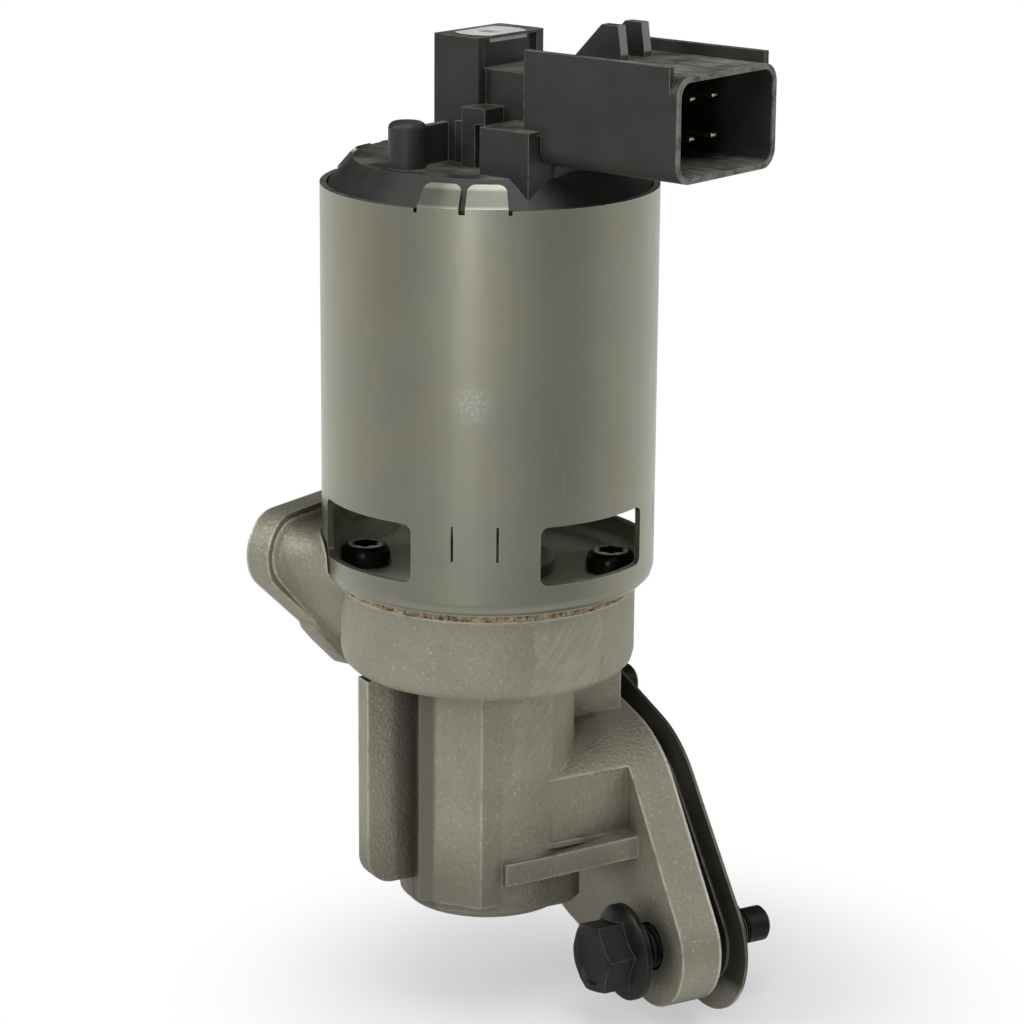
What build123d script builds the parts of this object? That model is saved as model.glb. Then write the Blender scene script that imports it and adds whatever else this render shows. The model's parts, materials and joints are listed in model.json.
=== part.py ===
from build123d import *
import math
import os

os.makedirs("parts", exist_ok=True)

# Frame: the origin is the middle of the two bolt holes in the mounting face, +X points out of
# that face and +Z runs up the valve axis, which stands behind the face. Sizes in millimetres.

# Mounting flange
axis_setback = 29.5
flange_thickness = 8.3
flange_middle_radius = 21.7
flange_lobe_radius = 11.3
bolt_offset_y = 24.2
bolt_offset_z = 16.8
bolt_hole_radius = 4.5
exhaust_port_radius = 8.0
exhaust_port_height = 8.5

# Casting
barrel_radius = 16.0
barrel_bottom = -10.5
barrel_floor = 5.5
barrel_shoulder = 13.0
barrel_corner = 4.0
barrel_foot_round = 3.0
collar_setback = 3.3
collar_bottom = 35.0
collar_height = 15.2
collar_round = 3.0
duct_side_half = 15.0
duct_bottom = -2.6
duct_shoulder = 15.3
rib_setback = 2.0
ledge_start = -6.0
ledge_reach = 16.2
ledge_height = 3.4
ledge_thickness = 1.1
band_start = -5.0
band_bend = 2.0
band_start_reach = 16.5
band_end_reach = 19.3
band_bottom = -3.0
band_thickness = 4.2
band_rise = 1.9
fin_reach = 25.5
fin_thickness = 3.8
fin_bottom = -4.0
fin_corner = 5.0
pad_angle = -141.8
pad_width = 12.4
pad_root_width = 19.0
pad_root_reach = 12.0
pad_reach = 16.9
pad_bottom = -7.0

# Gas way inside the casting
chamber_radius = 15.0
chamber_floor = 37.0
throat_radius = 9.5
seat_outer_radius = 11.0
seat_bore_radius = 7.0
seat_height = 5.5
seat_proud = 1.0
seat_chamfer = 1.5

# Side flange for the gas tube
outlet_angle = 116.6
outlet_face = 35.5
outlet_height = 48.0
outlet_thickness = 5.0
outlet_middle_radius = 14.0
outlet_lobe_radius = 7.5
outlet_bolt_t = 18.0
outlet_bolt_z = 6.5
outlet_neck_inset = 3.3
outlet_neck_root = 2.0
outlet_port_radius = 7.0
outlet_port_depth = 3.0
outlet_thread_radius = 2.5
outlet_thread_depth = 4.2
passage_overlap = 3.0
passage_half_width = 7.5
passage_half_height = 4.6
passage_drop = 4.2

# Can
base_gasket_thickness = 1.2
base_gasket_margin = 0.2
can_radius = 30.0
can_wall = 1.2
can_height = 71.9
can_foot_round = 3.0
window_angle = -78.4
window_width = 23.4
window_height = 10.6
window_sill = 5.9
window_corner = 1.5
window_count = 4
lance_half = 3.95
lance_height = 6.3
lance_slit = 0.45
lance_ledge = 1.5
lance_cut_margin = 1.0
crimp_angle = -128.1
crimp_pairs = 3
crimp_tab_arc = 14.0
crimp_tab_gap = 2.2
crimp_tab_length = 4.4
crimp_corner = 1.5
notch_depth = 0.7
notch_arc = 1.3

# Base screws
screw_inset = 6.5
screw_head_radius = 4.6
screw_head_height = 3.8
screw_crown = 1.7
screw_recess_radius = 2.3
screw_recess_depth = 2.4
screw_thread_radius = 2.4
screw_hole_radius = 2.7
screw_reach = 10.0
screw_fit = 0.02

# Mounting bolts and their gasket
thread_radius = 4.0
bolt_travel = 4.8
bolt_flange_radius = 8.95
bolt_flange_thickness = 1.6
bolt_head_height = 8.0
bolt_across_flats = 12.0
bolt_dish = 0.7
bolt_shank = 25.0
waist_radius = 3.6
waist_margin = 0.2
dog_radius = 3.3
dog_length = 4.3
steel_gasket_gap = 3.8
steel_gasket_thickness = 0.6
steel_gasket_middle_margin = 0.6
steel_gasket_lobe_margin = 2.2
steel_gasket_drop = 0.6
bead_height = 0.4
bead_inset = 5.6
bead_width = 1.6
gasket_hole_radius = 4.9

# Valve and armature
stem_radius = 2.5
valve_head_radius = 8.2
valve_head_height = 3.6
seat_gap = 0.12
valve_stroke = 4.5
running_fit = 0.06
guide_outer_radius = 8.0
head_clearance = 0.8
guide_flange_radius = 12.0
guide_flange_thickness = 2.0
guide_nose_height = 6.0
guide_nose_chamfer = 1.5
guide_fit = 0.05
seal_outer_radius = 5.2
seal_height = 2.4
armature_radius = 9.2
armature_height = 22.0
armature_bottom = 76.0
sleeve_wall = 0.9
nut_across_flats = 8.0
nut_height = 2.4

# Magnet
lower_plate_level = 16.9
plate_thickness = 3.0
plate_fit = 0.2
pole_hub_radius = 13.0
lower_hub_height = 9.0
bobbin_wall = 1.4
bobbin_flange_thickness = 2.0
bobbin_can_gap = 1.4
bobbin_height = 39.0
bobbin_fit = 0.2
winding_can_gap = 2.6
pole_gap = 1.0
spring_pocket_radius = 7.2
spring_pocket_depth = 7.0
spring_coil_radius = 5.9
spring_wire_radius = 0.65
spring_turns = 5
lead_radius = 0.8
lead_circle = 19.0
lead_spread = 12.0
lead_reach = 14.0
lead_clearance = 0.5

# Cap, sensor tower and connector, laid out along the connector's direction
connector_angle = -68.9
cap_fit = 0.3
cap_plateau = 4.5
plateau_radius = 24.2
cap_edge_drop = 0.1
seal_groove_depth = 1.6
seal_groove_height = 2.4
seal_groove_level = 2.6
seal_chamfer = 0.5
tower_back = 5.6
tower_front = 4.8
tower_half = 9.1
tower_height = 21.9
tower_corner = 0.8
tower_recess_depth = 0.8
tower_recess_height = 5.0
tower_recess_left = 1.6
tower_recess_right = 2.4
cavity_back = 3.4
cavity_front = 3.0
cavity_half = 6.0
cavity_roof = 2.6
cavity_floor = 2.0
plug_radius = 6.4
plug_flat = 4.1
plug_thickness = 1.2
plug_fit = 0.05
plug_hole_radius = 2.2
neck_half = 7.0
neck_top = 16.5
neck_foot_half = 9.5
neck_foot_top = 7.3
shroud_back = 22.5
shroud_mouth = 51.2
shroud_floor = 29.0
shroud_half = 13.8
shroud_height = 17.8
shroud_bottom = 2.2
shroud_corner = 3.4
shroud_wall = 0.95
wing_back = 18.8
wing_front = 49.4
wing_rise = 1.7
wing_foot = 7.4
wing_thickness = 1.2
tooth_foot = 21.9
tooth_crest = 27.7
tooth_end = 31.2
tooth_rise = 5.9
tooth_side = 2.2
tooth_width = 2.0
block_back = 11.3
block_front = 22.0
block_side = 16.3
block_top = 8.2
post_along = -2.7
post_side = -19.0
post_radius = 3.3
post_height = 8.0
post_round = 1.2
post_web = 1.6
nub_back = 3.6
nub_width = 3.0
nub_side = 12.0
nub_top = 10.4
nub_reach = 5.2
nub_height = 2.8

# Terminals
pin_rows = 2
pin_columns = 3
pin_row_pitch = 6.8
pin_column_pitch = 6.2
pin_width = 1.5
pin_thickness = 0.8
pin_tip = 7.0
pin_root = 3.0
pin_taper = 0.3

# Sensor
plunger_radius = 1.7
plunger_clearance = 0.4
plunger_length = 25.5
wiper_height = 6.0
wiper_half = 2.6
wiper_depth = 2.2
finger_width = 0.8
finger_reach = 0.5
track_thickness = 0.8
track_half = 4.6
track_length = 22.0
track_level = 7.0
sensor_spring_radius = 1.8
sensor_wire_radius = 0.25
sensor_spring_turns = 5

# Stations along the valve axis, each worked out from the sizes above
valve_x = -axis_setback
collar_top = collar_bottom + collar_height
seat_bottom = chamber_floor + seat_proud - seat_height
seat_top = seat_bottom + seat_height
guide_bottom = seat_top + valve_head_height + valve_stroke + head_clearance
can_bottom = collar_top + base_gasket_thickness
can_floor = can_bottom + can_wall
can_rim = can_bottom + can_height
can_inner = can_radius - can_wall
collar_radius = can_radius - collar_setback
screw_circle = can_inner - screw_inset
base_gasket_radius = collar_radius + base_gasket_margin
bobbin_flange_radius = can_inner - bobbin_can_gap
winding_radius = can_inner - winding_can_gap
lower_plate_bottom = can_bottom + lower_plate_level
lower_plate_top = lower_plate_bottom + plate_thickness
bobbin_bottom = lower_plate_top
bobbin_top = bobbin_bottom + bobbin_height
upper_plate_bottom = bobbin_top
upper_plate_top = upper_plate_bottom + plate_thickness
armature_top = armature_bottom + armature_height
upper_hub_bottom = armature_top + valve_stroke + pole_gap
nut_top = armature_top + nut_height
cap_bottom = upper_plate_top
plateau = can_rim + cap_plateau
cap_shoulder = can_rim - cap_edge_drop
cap_radius = can_inner - cap_fit
tower_top = plateau + tower_height
cavity_top = tower_top - cavity_roof
sleeve_inner = armature_radius + running_fit
sleeve_outer = sleeve_inner + sleeve_wall
plate_radius = can_inner - plate_fit
bobbin_inner = pole_hub_radius + bobbin_fit
bobbin_barrel = bobbin_inner + bobbin_wall
pin_tip_station = shroud_mouth - pin_tip
pin_root_station = shroud_floor - pin_root
shroud_low = plateau + shroud_bottom
shroud_middle = shroud_low + shroud_height / 2

valve_axis = Axis((valve_x, 0, 0), (0, 0, 1))
profile = Plane(origin=(valve_x, 0, 0), x_dir=(1, 0, 0), z_dir=(0, -1, 0))
mounting_face = Plane.YZ
bolt_spots = [(bolt_offset_y, bolt_offset_z), (-bolt_offset_y, -bolt_offset_z)]
outlet_bolt_spots = [(outlet_bolt_t, outlet_bolt_z), (-outlet_bolt_t, -outlet_bolt_z)]


def heading(angle):
    """Unit vector in the ground plane at an angle from +X."""
    return Vector(math.cos(math.radians(angle)), math.sin(math.radians(angle)), 0)


def level(height, angle=0):
    """Flat sketch plane on the valve axis, its x turned to an angle."""
    return Plane(origin=(valve_x, 0, height), x_dir=heading(angle), z_dir=(0, 0, 1))


def facing(angle, distance, height):
    """Upright sketch plane that faces outwards at a distance from the valve axis."""
    middle = Vector(valve_x, 0, height) + heading(angle) * distance
    return Plane(origin=middle, x_dir=heading(angle + 90), z_dir=heading(angle))


def radial(angle):
    """Upright plane through the valve axis: x is the radius, y is the height."""
    return Plane(origin=(valve_x, 0, 0), x_dir=heading(angle), z_dir=heading(angle - 90))


def ring(low, high, outer, inner=0.0, mode=Mode.ADD):
    """Round disc or ring about the valve axis between two heights."""
    with BuildSketch(level(low)) as disc:
        Circle(outer)
        if inner > 0:
            Circle(inner, mode=Mode.SUBTRACT)
    extrude(disc.sketch, amount=high - low, mode=mode)


def arc_points(centre, radius, start, end, steps=3):
    """Points along an arc, for a round that is made of a few light cones."""
    turns = [math.radians(start + (end - start) * step / steps) for step in range(steps + 1)]
    return [(centre[0] + radius * math.cos(turn), centre[1] + radius * math.sin(turn)) for turn in turns]


def spun(points, mode=Mode.ADD):
    """Solid of revolution about the valve axis from points of radius and height."""
    with BuildSketch(profile) as side:
        with BuildLine():
            Polyline(*points, close=True)
        make_face()
    revolve(side.sketch, axis=valve_axis, mode=mode)


def diamond(plane, middle_radius, lobe_radius, spots):
    """Two-bolt flange outline: a middle circle and a lobe at each bolt."""
    with BuildSketch(plane) as outline:
        Circle(middle_radius)
        with Locations(*spots):
            Circle(lobe_radius)
        make_hull()
    return outline.sketch


def block(angle, along, across, low, high, mode=Mode.ADD):
    """Upright block laid out along and across a direction from the valve axis."""
    with BuildSketch(level(low, angle)) as base:
        with Locations(((along[0] + along[1]) / 2, (across[0] + across[1]) / 2)):
            Rectangle(along[1] - along[0], across[1] - across[0])
    extrude(base.sketch, amount=high - low, mode=mode)


# Cast body
with BuildPart() as valve_body:
    collar_bend = (collar_radius - collar_round, collar_bottom + collar_round)
    spun(
        [
            (0, collar_top),
            (0, collar_bottom),
            *arc_points(collar_bend, collar_round, -90, 0),
            (collar_radius, collar_top),
        ]
    )

    # Barrel, square shouldered on the side of the mounting flange
    with BuildSketch(level(barrel_bottom)) as barrel_plan:
        Circle(barrel_radius)
        with Locations((barrel_shoulder / 2, 0)):
            Rectangle(barrel_shoulder, 2 * duct_side_half)
        fillet(barrel_plan.vertices().group_by(Axis.X)[-1], radius=barrel_corner)
    extrude(amount=duct_bottom - barrel_bottom)
    chamfer(valve_body.edges().group_by(Axis.Z)[0], length=0.7 * barrel_foot_round)
    chamfer(valve_body.edges().group_by(Axis.Z)[0], length=0.35 * barrel_foot_round)
    ring(duct_bottom - barrel_foot_round, collar_bottom, barrel_radius)

    # Flat pad on the barrel
    with BuildSketch(level(pad_bottom, pad_angle)):
        with BuildLine():
            Polyline(
                (0, -pad_root_width / 2),
                (pad_root_reach, -pad_root_width / 2),
                (pad_reach, -pad_width / 2),
                (pad_reach, pad_width / 2),
                (pad_root_reach, pad_root_width / 2),
                (0, pad_root_width / 2),
                close=True,
            )
        make_face()
    extrude(amount=collar_bottom - pad_bottom)

    # Fin opposite the mounting flange
    with BuildSketch(profile) as fin_side:
        with Locations((-fin_reach / 2, (fin_bottom + collar_bottom) / 2)):
            Rectangle(fin_reach, collar_bottom - fin_bottom)
        fillet(fin_side.vertices().group_by(Axis.Y)[0].sort_by(Axis.X)[0], radius=fin_corner)
    extrude(amount=fin_thickness / 2, both=True)

    # Flat sides of the gas duct, up to its shoulder
    duct_length = axis_setback - flange_thickness
    duct_height = duct_shoulder - duct_bottom
    with BuildSketch(profile):
        with Locations(((duct_length + flange_thickness / 2) / 2, duct_bottom + duct_height / 2)):
            Rectangle(duct_length + flange_thickness / 2, duct_height)
    extrude(amount=duct_side_half, both=True)

    # Round back of the duct, as wide as the flange's middle
    with BuildSketch(mounting_face.offset(-flange_thickness / 2)):
        Circle(flange_middle_radius)
        with Locations((0, duct_shoulder - flange_middle_radius)):
            Rectangle(2 * flange_middle_radius, 2 * flange_middle_radius, mode=Mode.SUBTRACT)
    extrude(amount=flange_thickness / 2 - axis_setback)

    # Rib from the duct's back up to the collar
    with BuildSketch(profile):
        with Locations(((axis_setback - rib_setback) / 2, (duct_shoulder + collar_bottom) / 2)):
            Rectangle(axis_setback - rib_setback, collar_bottom - duct_shoulder)
    extrude(amount=fin_thickness / 2, both=True)

    # Ledge along the foot of the duct's sides
    with BuildSketch(level(ledge_height - ledge_thickness)):
        with BuildLine():
            Polyline(
                (ledge_start, -duct_side_half),
                (duct_length, -ledge_reach),
                (duct_length, ledge_reach),
                (ledge_start, duct_side_half),
                close=True,
            )
        make_face()
    extrude(amount=ledge_thickness)

    # Band below the ledge, which spreads and climbs towards the flange
    for stations in ((band_start, band_bend), (band_bend, duct_length)):
        for station in stations:
            far = max(0, (station - band_bend) / (duct_length - band_bend))
            reach = band_start_reach + far * (band_end_reach - band_start_reach)
            middle = band_bottom + band_thickness / 2 + far * band_rise
            with BuildSketch(facing(0, station, middle)):
                Rectangle(2 * reach, band_thickness)
        loft()

    # Mounting flange
    extrude(
        diamond(mounting_face, flange_middle_radius, flange_lobe_radius, bolt_spots),
        amount=-flange_thickness,
    )

    # Side flange on its neck, which stops below the can
    outlet_plane = facing(outlet_angle, outlet_face, outlet_height)
    neck_plane = facing(outlet_angle, outlet_face - outlet_thickness, outlet_height)
    extrude(
        diamond(
            neck_plane,
            outlet_middle_radius - outlet_neck_inset,
            outlet_lobe_radius - outlet_neck_inset,
            outlet_bolt_spots,
        ),
        amount=-(outlet_face - outlet_thickness - chamber_radius - outlet_neck_root),
    )
    ring(collar_top, can_rim, 2 * can_radius, mode=Mode.SUBTRACT)
    extrude(
        diamond(outlet_plane, outlet_middle_radius, outlet_lobe_radius, outlet_bolt_spots),
        amount=-outlet_thickness,
    )

    # Bores along the valve axis
    ring(barrel_bottom + barrel_floor, collar_top, throat_radius, mode=Mode.SUBTRACT)
    ring(seat_bottom, collar_top, seat_outer_radius, mode=Mode.SUBTRACT)
    ring(chamber_floor, collar_top, chamber_radius, mode=Mode.SUBTRACT)

    # Exhaust port and bolt holes in the mounting flange
    with BuildSketch(mounting_face):
        with Locations((0, exhaust_port_height)):
            Circle(exhaust_port_radius)
    extrude(amount=-axis_setback, mode=Mode.SUBTRACT)
    with BuildSketch(mounting_face):
        with Locations(*bolt_spots):
            Circle(bolt_hole_radius)
    extrude(amount=-flange_thickness, mode=Mode.SUBTRACT)

    # Outlet port, its passage down into the chamber, and threaded holes
    with BuildSketch(outlet_plane):
        Circle(outlet_port_radius)
    extrude(amount=-outlet_port_depth, mode=Mode.SUBTRACT)
    passage_start = facing(outlet_angle, outlet_face - outlet_port_depth, outlet_height)
    passage_end = facing(outlet_angle, chamber_radius - passage_overlap, outlet_height)
    with BuildSketch(passage_start):
        with Locations((0, -passage_drop / 2)):
            Ellipse(outlet_port_radius - 0.5, passage_half_height)
    with BuildSketch(passage_end):
        with Locations((0, -passage_drop)):
            Ellipse(passage_half_width, passage_half_height)
    loft(mode=Mode.SUBTRACT)
    with BuildSketch(outlet_plane):
        with Locations(*outlet_bolt_spots):
            Circle(outlet_thread_radius)
    extrude(amount=-outlet_thread_depth, mode=Mode.SUBTRACT)

    # Threaded holes for the base screws
    with BuildSketch(level(collar_top, window_angle + 180 / window_count)):
        with PolarLocations(screw_circle, window_count):
            Circle(screw_thread_radius + screw_fit)
    extrude(amount=-(screw_reach + screw_fit), mode=Mode.SUBTRACT)

valve_body.part.label = "valve_body"
export_step(valve_body.part, "parts/valve_body.step")

# Hardened seat ring, its bore eased for the valve head
with BuildPart() as valve_seat_ring:
    ring(seat_bottom, seat_top, seat_outer_radius, seat_bore_radius)
    chamfer(
        valve_seat_ring.edges().filter_by(GeomType.CIRCLE).group_by(Axis.Z)[-1].sort_by(SortBy.RADIUS)[0],
        length=seat_chamfer,
    )
valve_seat_ring.part.label = "valve_seat_ring"
export_step(valve_seat_ring.part, "parts/valve_seat_ring.step")

# Fibre gasket under the can
with BuildPart() as base_gasket:
    ring(collar_top, can_bottom, base_gasket_radius, chamber_radius + 0.5)
    with BuildSketch(level(can_bottom, window_angle + 180 / window_count)):
        with PolarLocations(screw_circle, window_count):
            Circle(screw_hole_radius)
    extrude(amount=-base_gasket_thickness, mode=Mode.SUBTRACT)
base_gasket.part.label = "base_gasket"
export_step(base_gasket.part, "parts/base_gasket.step")

# Drawn can with windows, lanced tabs and crimp tabs
with BuildPart() as solenoid_can:
    can_bend = (can_radius - can_foot_round, can_bottom + can_foot_round)
    ring(can_bottom, can_rim, can_radius)
    spun(
        [
            (can_bend[0], can_bottom - can_wall),
            *arc_points(can_bend, can_foot_round, -90, 0),
            (can_radius + can_wall, can_bend[1]),
            (can_radius + can_wall, can_bottom - can_wall),
        ],
        mode=Mode.SUBTRACT,
    )
    spun(
        [
            (0, can_rim),
            (0, can_floor),
            *arc_points(can_bend, can_foot_round - can_wall, -90, 0),
            (can_inner, can_rim),
        ],
        mode=Mode.SUBTRACT,
    )
    ring(can_bottom, can_floor, guide_outer_radius + guide_fit, mode=Mode.SUBTRACT)
    with BuildSketch(level(can_bottom, window_angle + 180 / window_count)):
        with PolarLocations(screw_circle, window_count):
            Circle(screw_hole_radius)
    extrude(amount=can_wall, mode=Mode.SUBTRACT)

    window_middle = can_bottom + window_sill + window_height / 2
    slit_middle = lower_plate_bottom - lance_height / 2
    for step in range(window_count):
        turn = window_angle + step * 360 / window_count
        with BuildSketch(facing(turn, 0, window_middle)):
            RectangleRounded(window_width, window_height, window_corner)
        extrude(amount=can_radius + 1, mode=Mode.SUBTRACT)
        between = turn + 180 / window_count
        with BuildSketch(facing(between, can_inner - lance_cut_margin, slit_middle)):
            with Locations((-lance_half, 0), (lance_half, 0)):
                Rectangle(lance_slit, lance_height)
        extrude(amount=can_wall + 2 * lance_cut_margin, mode=Mode.SUBTRACT)
        with BuildSketch(radial(between)):
            with BuildLine():
                Polyline(
                    (can_inner + can_wall / 3, lower_plate_bottom - lance_height / 2),
                    (can_inner + can_wall / 3, lower_plate_bottom),
                    (can_inner - lance_ledge, lower_plate_bottom),
                    (can_inner - lance_ledge, lower_plate_bottom - lance_ledge),
                    close=True,
                )
            make_face()
        extrude(amount=lance_half - lance_slit, both=True)

    # Crimp tabs, folded in over the cap's chamfer, with relief notches beside them
    fold_run = cap_radius - plateau_radius
    fold_rise = plateau - cap_shoulder
    fold_length = math.hypot(fold_run, fold_rise)
    inward = -fold_run / fold_length
    upward = fold_rise / fold_length
    tip_r = can_inner + inward * crimp_tab_length
    tip_z = can_rim + upward * crimp_tab_length
    for pair in range(crimp_pairs):
        centre = crimp_angle + pair * 360 / crimp_pairs
        starts = (centre - crimp_tab_gap / 2 - crimp_tab_arc, centre + crimp_tab_gap / 2)
        first_notch = starts[0] - notch_arc
        notch_sweep = 2 * (notch_arc + crimp_tab_arc) + crimp_tab_gap
        with BuildSketch(radial(first_notch)):
            with Locations((can_radius, can_rim)):
                Rectangle(4 * can_wall, 2 * notch_depth)
        revolve(axis=valve_axis, revolution_arc=notch_sweep, mode=Mode.SUBTRACT)
        for start in starts:
            with BuildSketch(radial(start)):
                with BuildLine():
                    Polyline(
                        (can_inner, can_rim - notch_depth),
                        (can_inner, can_rim),
                        (tip_r, tip_z),
                        (tip_r + upward * can_wall, tip_z - inward * can_wall),
                        (can_radius, can_rim + 0.3 * can_wall),
                        (can_radius, can_rim - notch_depth),
                        close=True,
                    )
                make_face()
            revolve(axis=valve_axis, revolution_arc=crimp_tab_arc)
    tips = solenoid_can.edges().filter_by(GeomType.LINE)
    tips = tips.filter_by(lambda e: e.center().Z > can_rim + upward * crimp_tab_length / 2)
    fillet(tips.filter_by(lambda e: abs(e.length - can_wall) < can_wall / 10), radius=crimp_corner)
solenoid_can.part.label = "solenoid_can"
export_step(solenoid_can.part, "parts/solenoid_can.step")

# Button head screws that hold the can down
with BuildPart() as base_screws:
    with BuildSketch(level(can_floor, window_angle + 180 / window_count)):
        with PolarLocations(screw_circle, window_count):
            Circle(screw_head_radius)
    extrude(amount=screw_head_height)
    chamfer(base_screws.edges().filter_by(GeomType.CIRCLE).group_by(Axis.Z)[-1], length=screw_crown)
    with BuildSketch(level(can_floor, window_angle + 180 / window_count)):
        with PolarLocations(screw_circle, window_count):
            Circle(screw_thread_radius)
    extrude(amount=-(can_wall + base_gasket_thickness + screw_reach))
    with BuildSketch(level(can_floor + screw_head_height, window_angle + 180 / window_count)):
        with PolarLocations(screw_circle, window_count):
            RegularPolygon(screw_recess_radius, 6)
    extrude(amount=-screw_recess_depth, mode=Mode.SUBTRACT)
base_screws.part.label = "base_screws"
export_step(base_screws.part, "parts/base_screws.step")

# Guide housing: a spigot through the can's floor with a seal pocket below and a nose above
with BuildPart() as stem_guide:
    ring(guide_bottom, can_floor, guide_outer_radius)
    ring(can_floor, can_floor + guide_flange_thickness, guide_flange_radius)
    ring(can_floor, can_floor + guide_flange_thickness + guide_nose_height, guide_outer_radius)
    chamfer(stem_guide.edges().filter_by(GeomType.CIRCLE).sort_by(Axis.Z)[-1], length=guide_nose_chamfer)
    ring(guide_bottom, lower_plate_bottom, stem_radius + running_fit, mode=Mode.SUBTRACT)
    ring(guide_bottom, guide_bottom + seal_height, seal_outer_radius, mode=Mode.SUBTRACT)
stem_guide.part.label = "stem_guide"
export_step(stem_guide.part, "parts/stem_guide.step")

# Soot scraper ring in the guide's pocket
with BuildPart() as stem_seal:
    ring(guide_bottom, guide_bottom + seal_height, seal_outer_radius, stem_radius + running_fit)
stem_seal.part.label = "stem_seal"
export_step(stem_seal.part, "parts/stem_seal.step")

# Valve head and stem in one piece
head_low = seat_top - seat_chamfer
head_radius_low = seat_bore_radius - seat_gap
with BuildPart() as pintle:
    with BuildSketch(profile):
        with BuildLine():
            Polyline(
                (0, head_low - seat_chamfer),
                (head_radius_low - seat_gap, head_low - seat_chamfer),
                (head_radius_low - seat_gap, head_low + seat_gap),
                (valve_head_radius - seat_gap, head_low + valve_head_radius - seat_bore_radius + seat_gap),
                (valve_head_radius - seat_gap, seat_top + valve_head_height / 2),
                (stem_radius, seat_top + valve_head_height),
                (stem_radius, armature_top),
                (0, armature_top),
                close=True,
            )
        make_face()
    revolve(axis=valve_axis)
pintle.part.label = "pintle"
export_step(pintle.part, "parts/pintle.step")

# Soft iron armature on the stem
with BuildPart() as armature:
    ring(armature_bottom, armature_top, armature_radius, stem_radius)
    chamfer(armature.edges().filter_by(GeomType.CIRCLE).sort_by(SortBy.RADIUS)[-2:], length=0.6)
    with BuildSketch(level(armature_top)):
        with PolarLocations(stem_radius + 3.3, 3):
            Circle(0.9)
    extrude(amount=-armature_height, mode=Mode.SUBTRACT)
armature.part.label = "armature"
export_step(armature.part, "parts/armature.step")

# Nut that holds the armature on the stem
with BuildPart() as armature_nut:
    with BuildSketch(level(armature_top)):
        RegularPolygon(nut_across_flats / 2, 6, major_radius=False)
    extrude(amount=nut_height)
armature_nut.part.label = "armature_nut"
export_step(armature_nut.part, "parts/armature_nut.step")

# Lower flux plate with its pole hub, standing on the lanced tabs
with BuildPart() as lower_pole_plate:
    ring(lower_plate_bottom, lower_plate_top, plate_radius, sleeve_outer)
    ring(lower_plate_top, lower_plate_top + lower_hub_height, pole_hub_radius, sleeve_outer)
    chamfer(
        lower_pole_plate.edges().filter_by(GeomType.CIRCLE).group_by(Axis.Z)[-1].sort_by(SortBy.RADIUS)[-1],
        length=(pole_hub_radius - sleeve_outer) * 0.7,
    )
lower_pole_plate.part.label = "lower_pole_plate"
export_step(lower_pole_plate.part, "parts/lower_pole_plate.step")

# Non-magnetic sleeve that guides the armature
with BuildPart() as armature_sleeve:
    ring(lower_plate_bottom, upper_plate_bottom, sleeve_outer, sleeve_inner)
armature_sleeve.part.label = "armature_sleeve"
export_step(armature_sleeve.part, "parts/armature_sleeve.step")

# Coil former
with BuildPart() as coil_bobbin:
    ring(bobbin_bottom, bobbin_top, bobbin_barrel, bobbin_inner)
    ring(bobbin_bottom, bobbin_bottom + bobbin_flange_thickness, bobbin_flange_radius, bobbin_inner)
    ring(bobbin_top - bobbin_flange_thickness, bobbin_top, bobbin_flange_radius, bobbin_inner)
    for turn in (-lead_spread, lead_spread):
        with BuildSketch(level(bobbin_top, connector_angle + turn)):
            with Locations((lead_circle, 0)):
                Circle(lead_radius)
        extrude(amount=-bobbin_flange_thickness, mode=Mode.SUBTRACT)
coil_bobbin.part.label = "coil_bobbin"
export_step(coil_bobbin.part, "parts/coil_bobbin.step")

# Copper winding
winding_low = bobbin_bottom + bobbin_flange_thickness
winding_high = bobbin_top - bobbin_flange_thickness
with BuildPart() as coil_winding:
    ring(winding_low, winding_high, winding_radius, bobbin_barrel)
coil_winding.part.label = "coil_winding"
export_step(coil_winding.part, "parts/coil_winding.step")

# Upper flux plate with its pole hub and the return spring's pocket
with BuildPart() as upper_pole_piece:
    ring(upper_plate_bottom, upper_plate_top, plate_radius)
    ring(upper_hub_bottom, upper_plate_bottom, sleeve_inner - plate_fit / 2)
    ring(upper_hub_bottom, upper_hub_bottom + spring_pocket_depth, spring_pocket_radius, mode=Mode.SUBTRACT)
    ring(upper_hub_bottom, upper_plate_top, plunger_radius + plunger_clearance, mode=Mode.SUBTRACT)
    for turn in (-lead_spread, lead_spread):
        with BuildSketch(level(upper_plate_top, connector_angle + turn)):
            with Locations((lead_circle, 0)):
                Circle(lead_radius + lead_clearance)
        extrude(amount=-plate_thickness, mode=Mode.SUBTRACT)
upper_pole_piece.part.label = "upper_pole_piece"
export_step(upper_pole_piece.part, "parts/upper_pole_piece.step")

# Return spring between the armature and the upper pole, its wire square to keep it light
spring_low = armature_top + spring_wire_radius
spring_high = upper_hub_bottom + spring_pocket_depth - spring_wire_radius
spring_pitch = (spring_high - spring_low) / spring_turns
with BuildPart() as return_spring:
    with BuildLine() as spring_line:
        Helix(
            pitch=spring_pitch,
            height=spring_high - spring_low,
            radius=spring_coil_radius,
            center=(valve_x, 0, spring_low),
        )
    with BuildSketch(Plane(origin=spring_line.line @ 0, z_dir=spring_line.line % 0)):
        RegularPolygon(spring_wire_radius, 4)
    sweep(path=spring_line.line, is_frenet=True)
return_spring.part.label = "return_spring"
export_step(return_spring.part, "parts/return_spring.step")

# Two conductors from the coil up into the cap
with BuildPart() as coil_leads:
    for turn in (-lead_spread, lead_spread):
        with BuildSketch(level(winding_high, connector_angle + turn)):
            with Locations((lead_circle, 0)):
                Circle(lead_radius)
        extrude(amount=lead_reach)
coil_leads.part.label = "coil_leads"
export_step(coil_leads.part, "parts/coil_leads.step")

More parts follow.
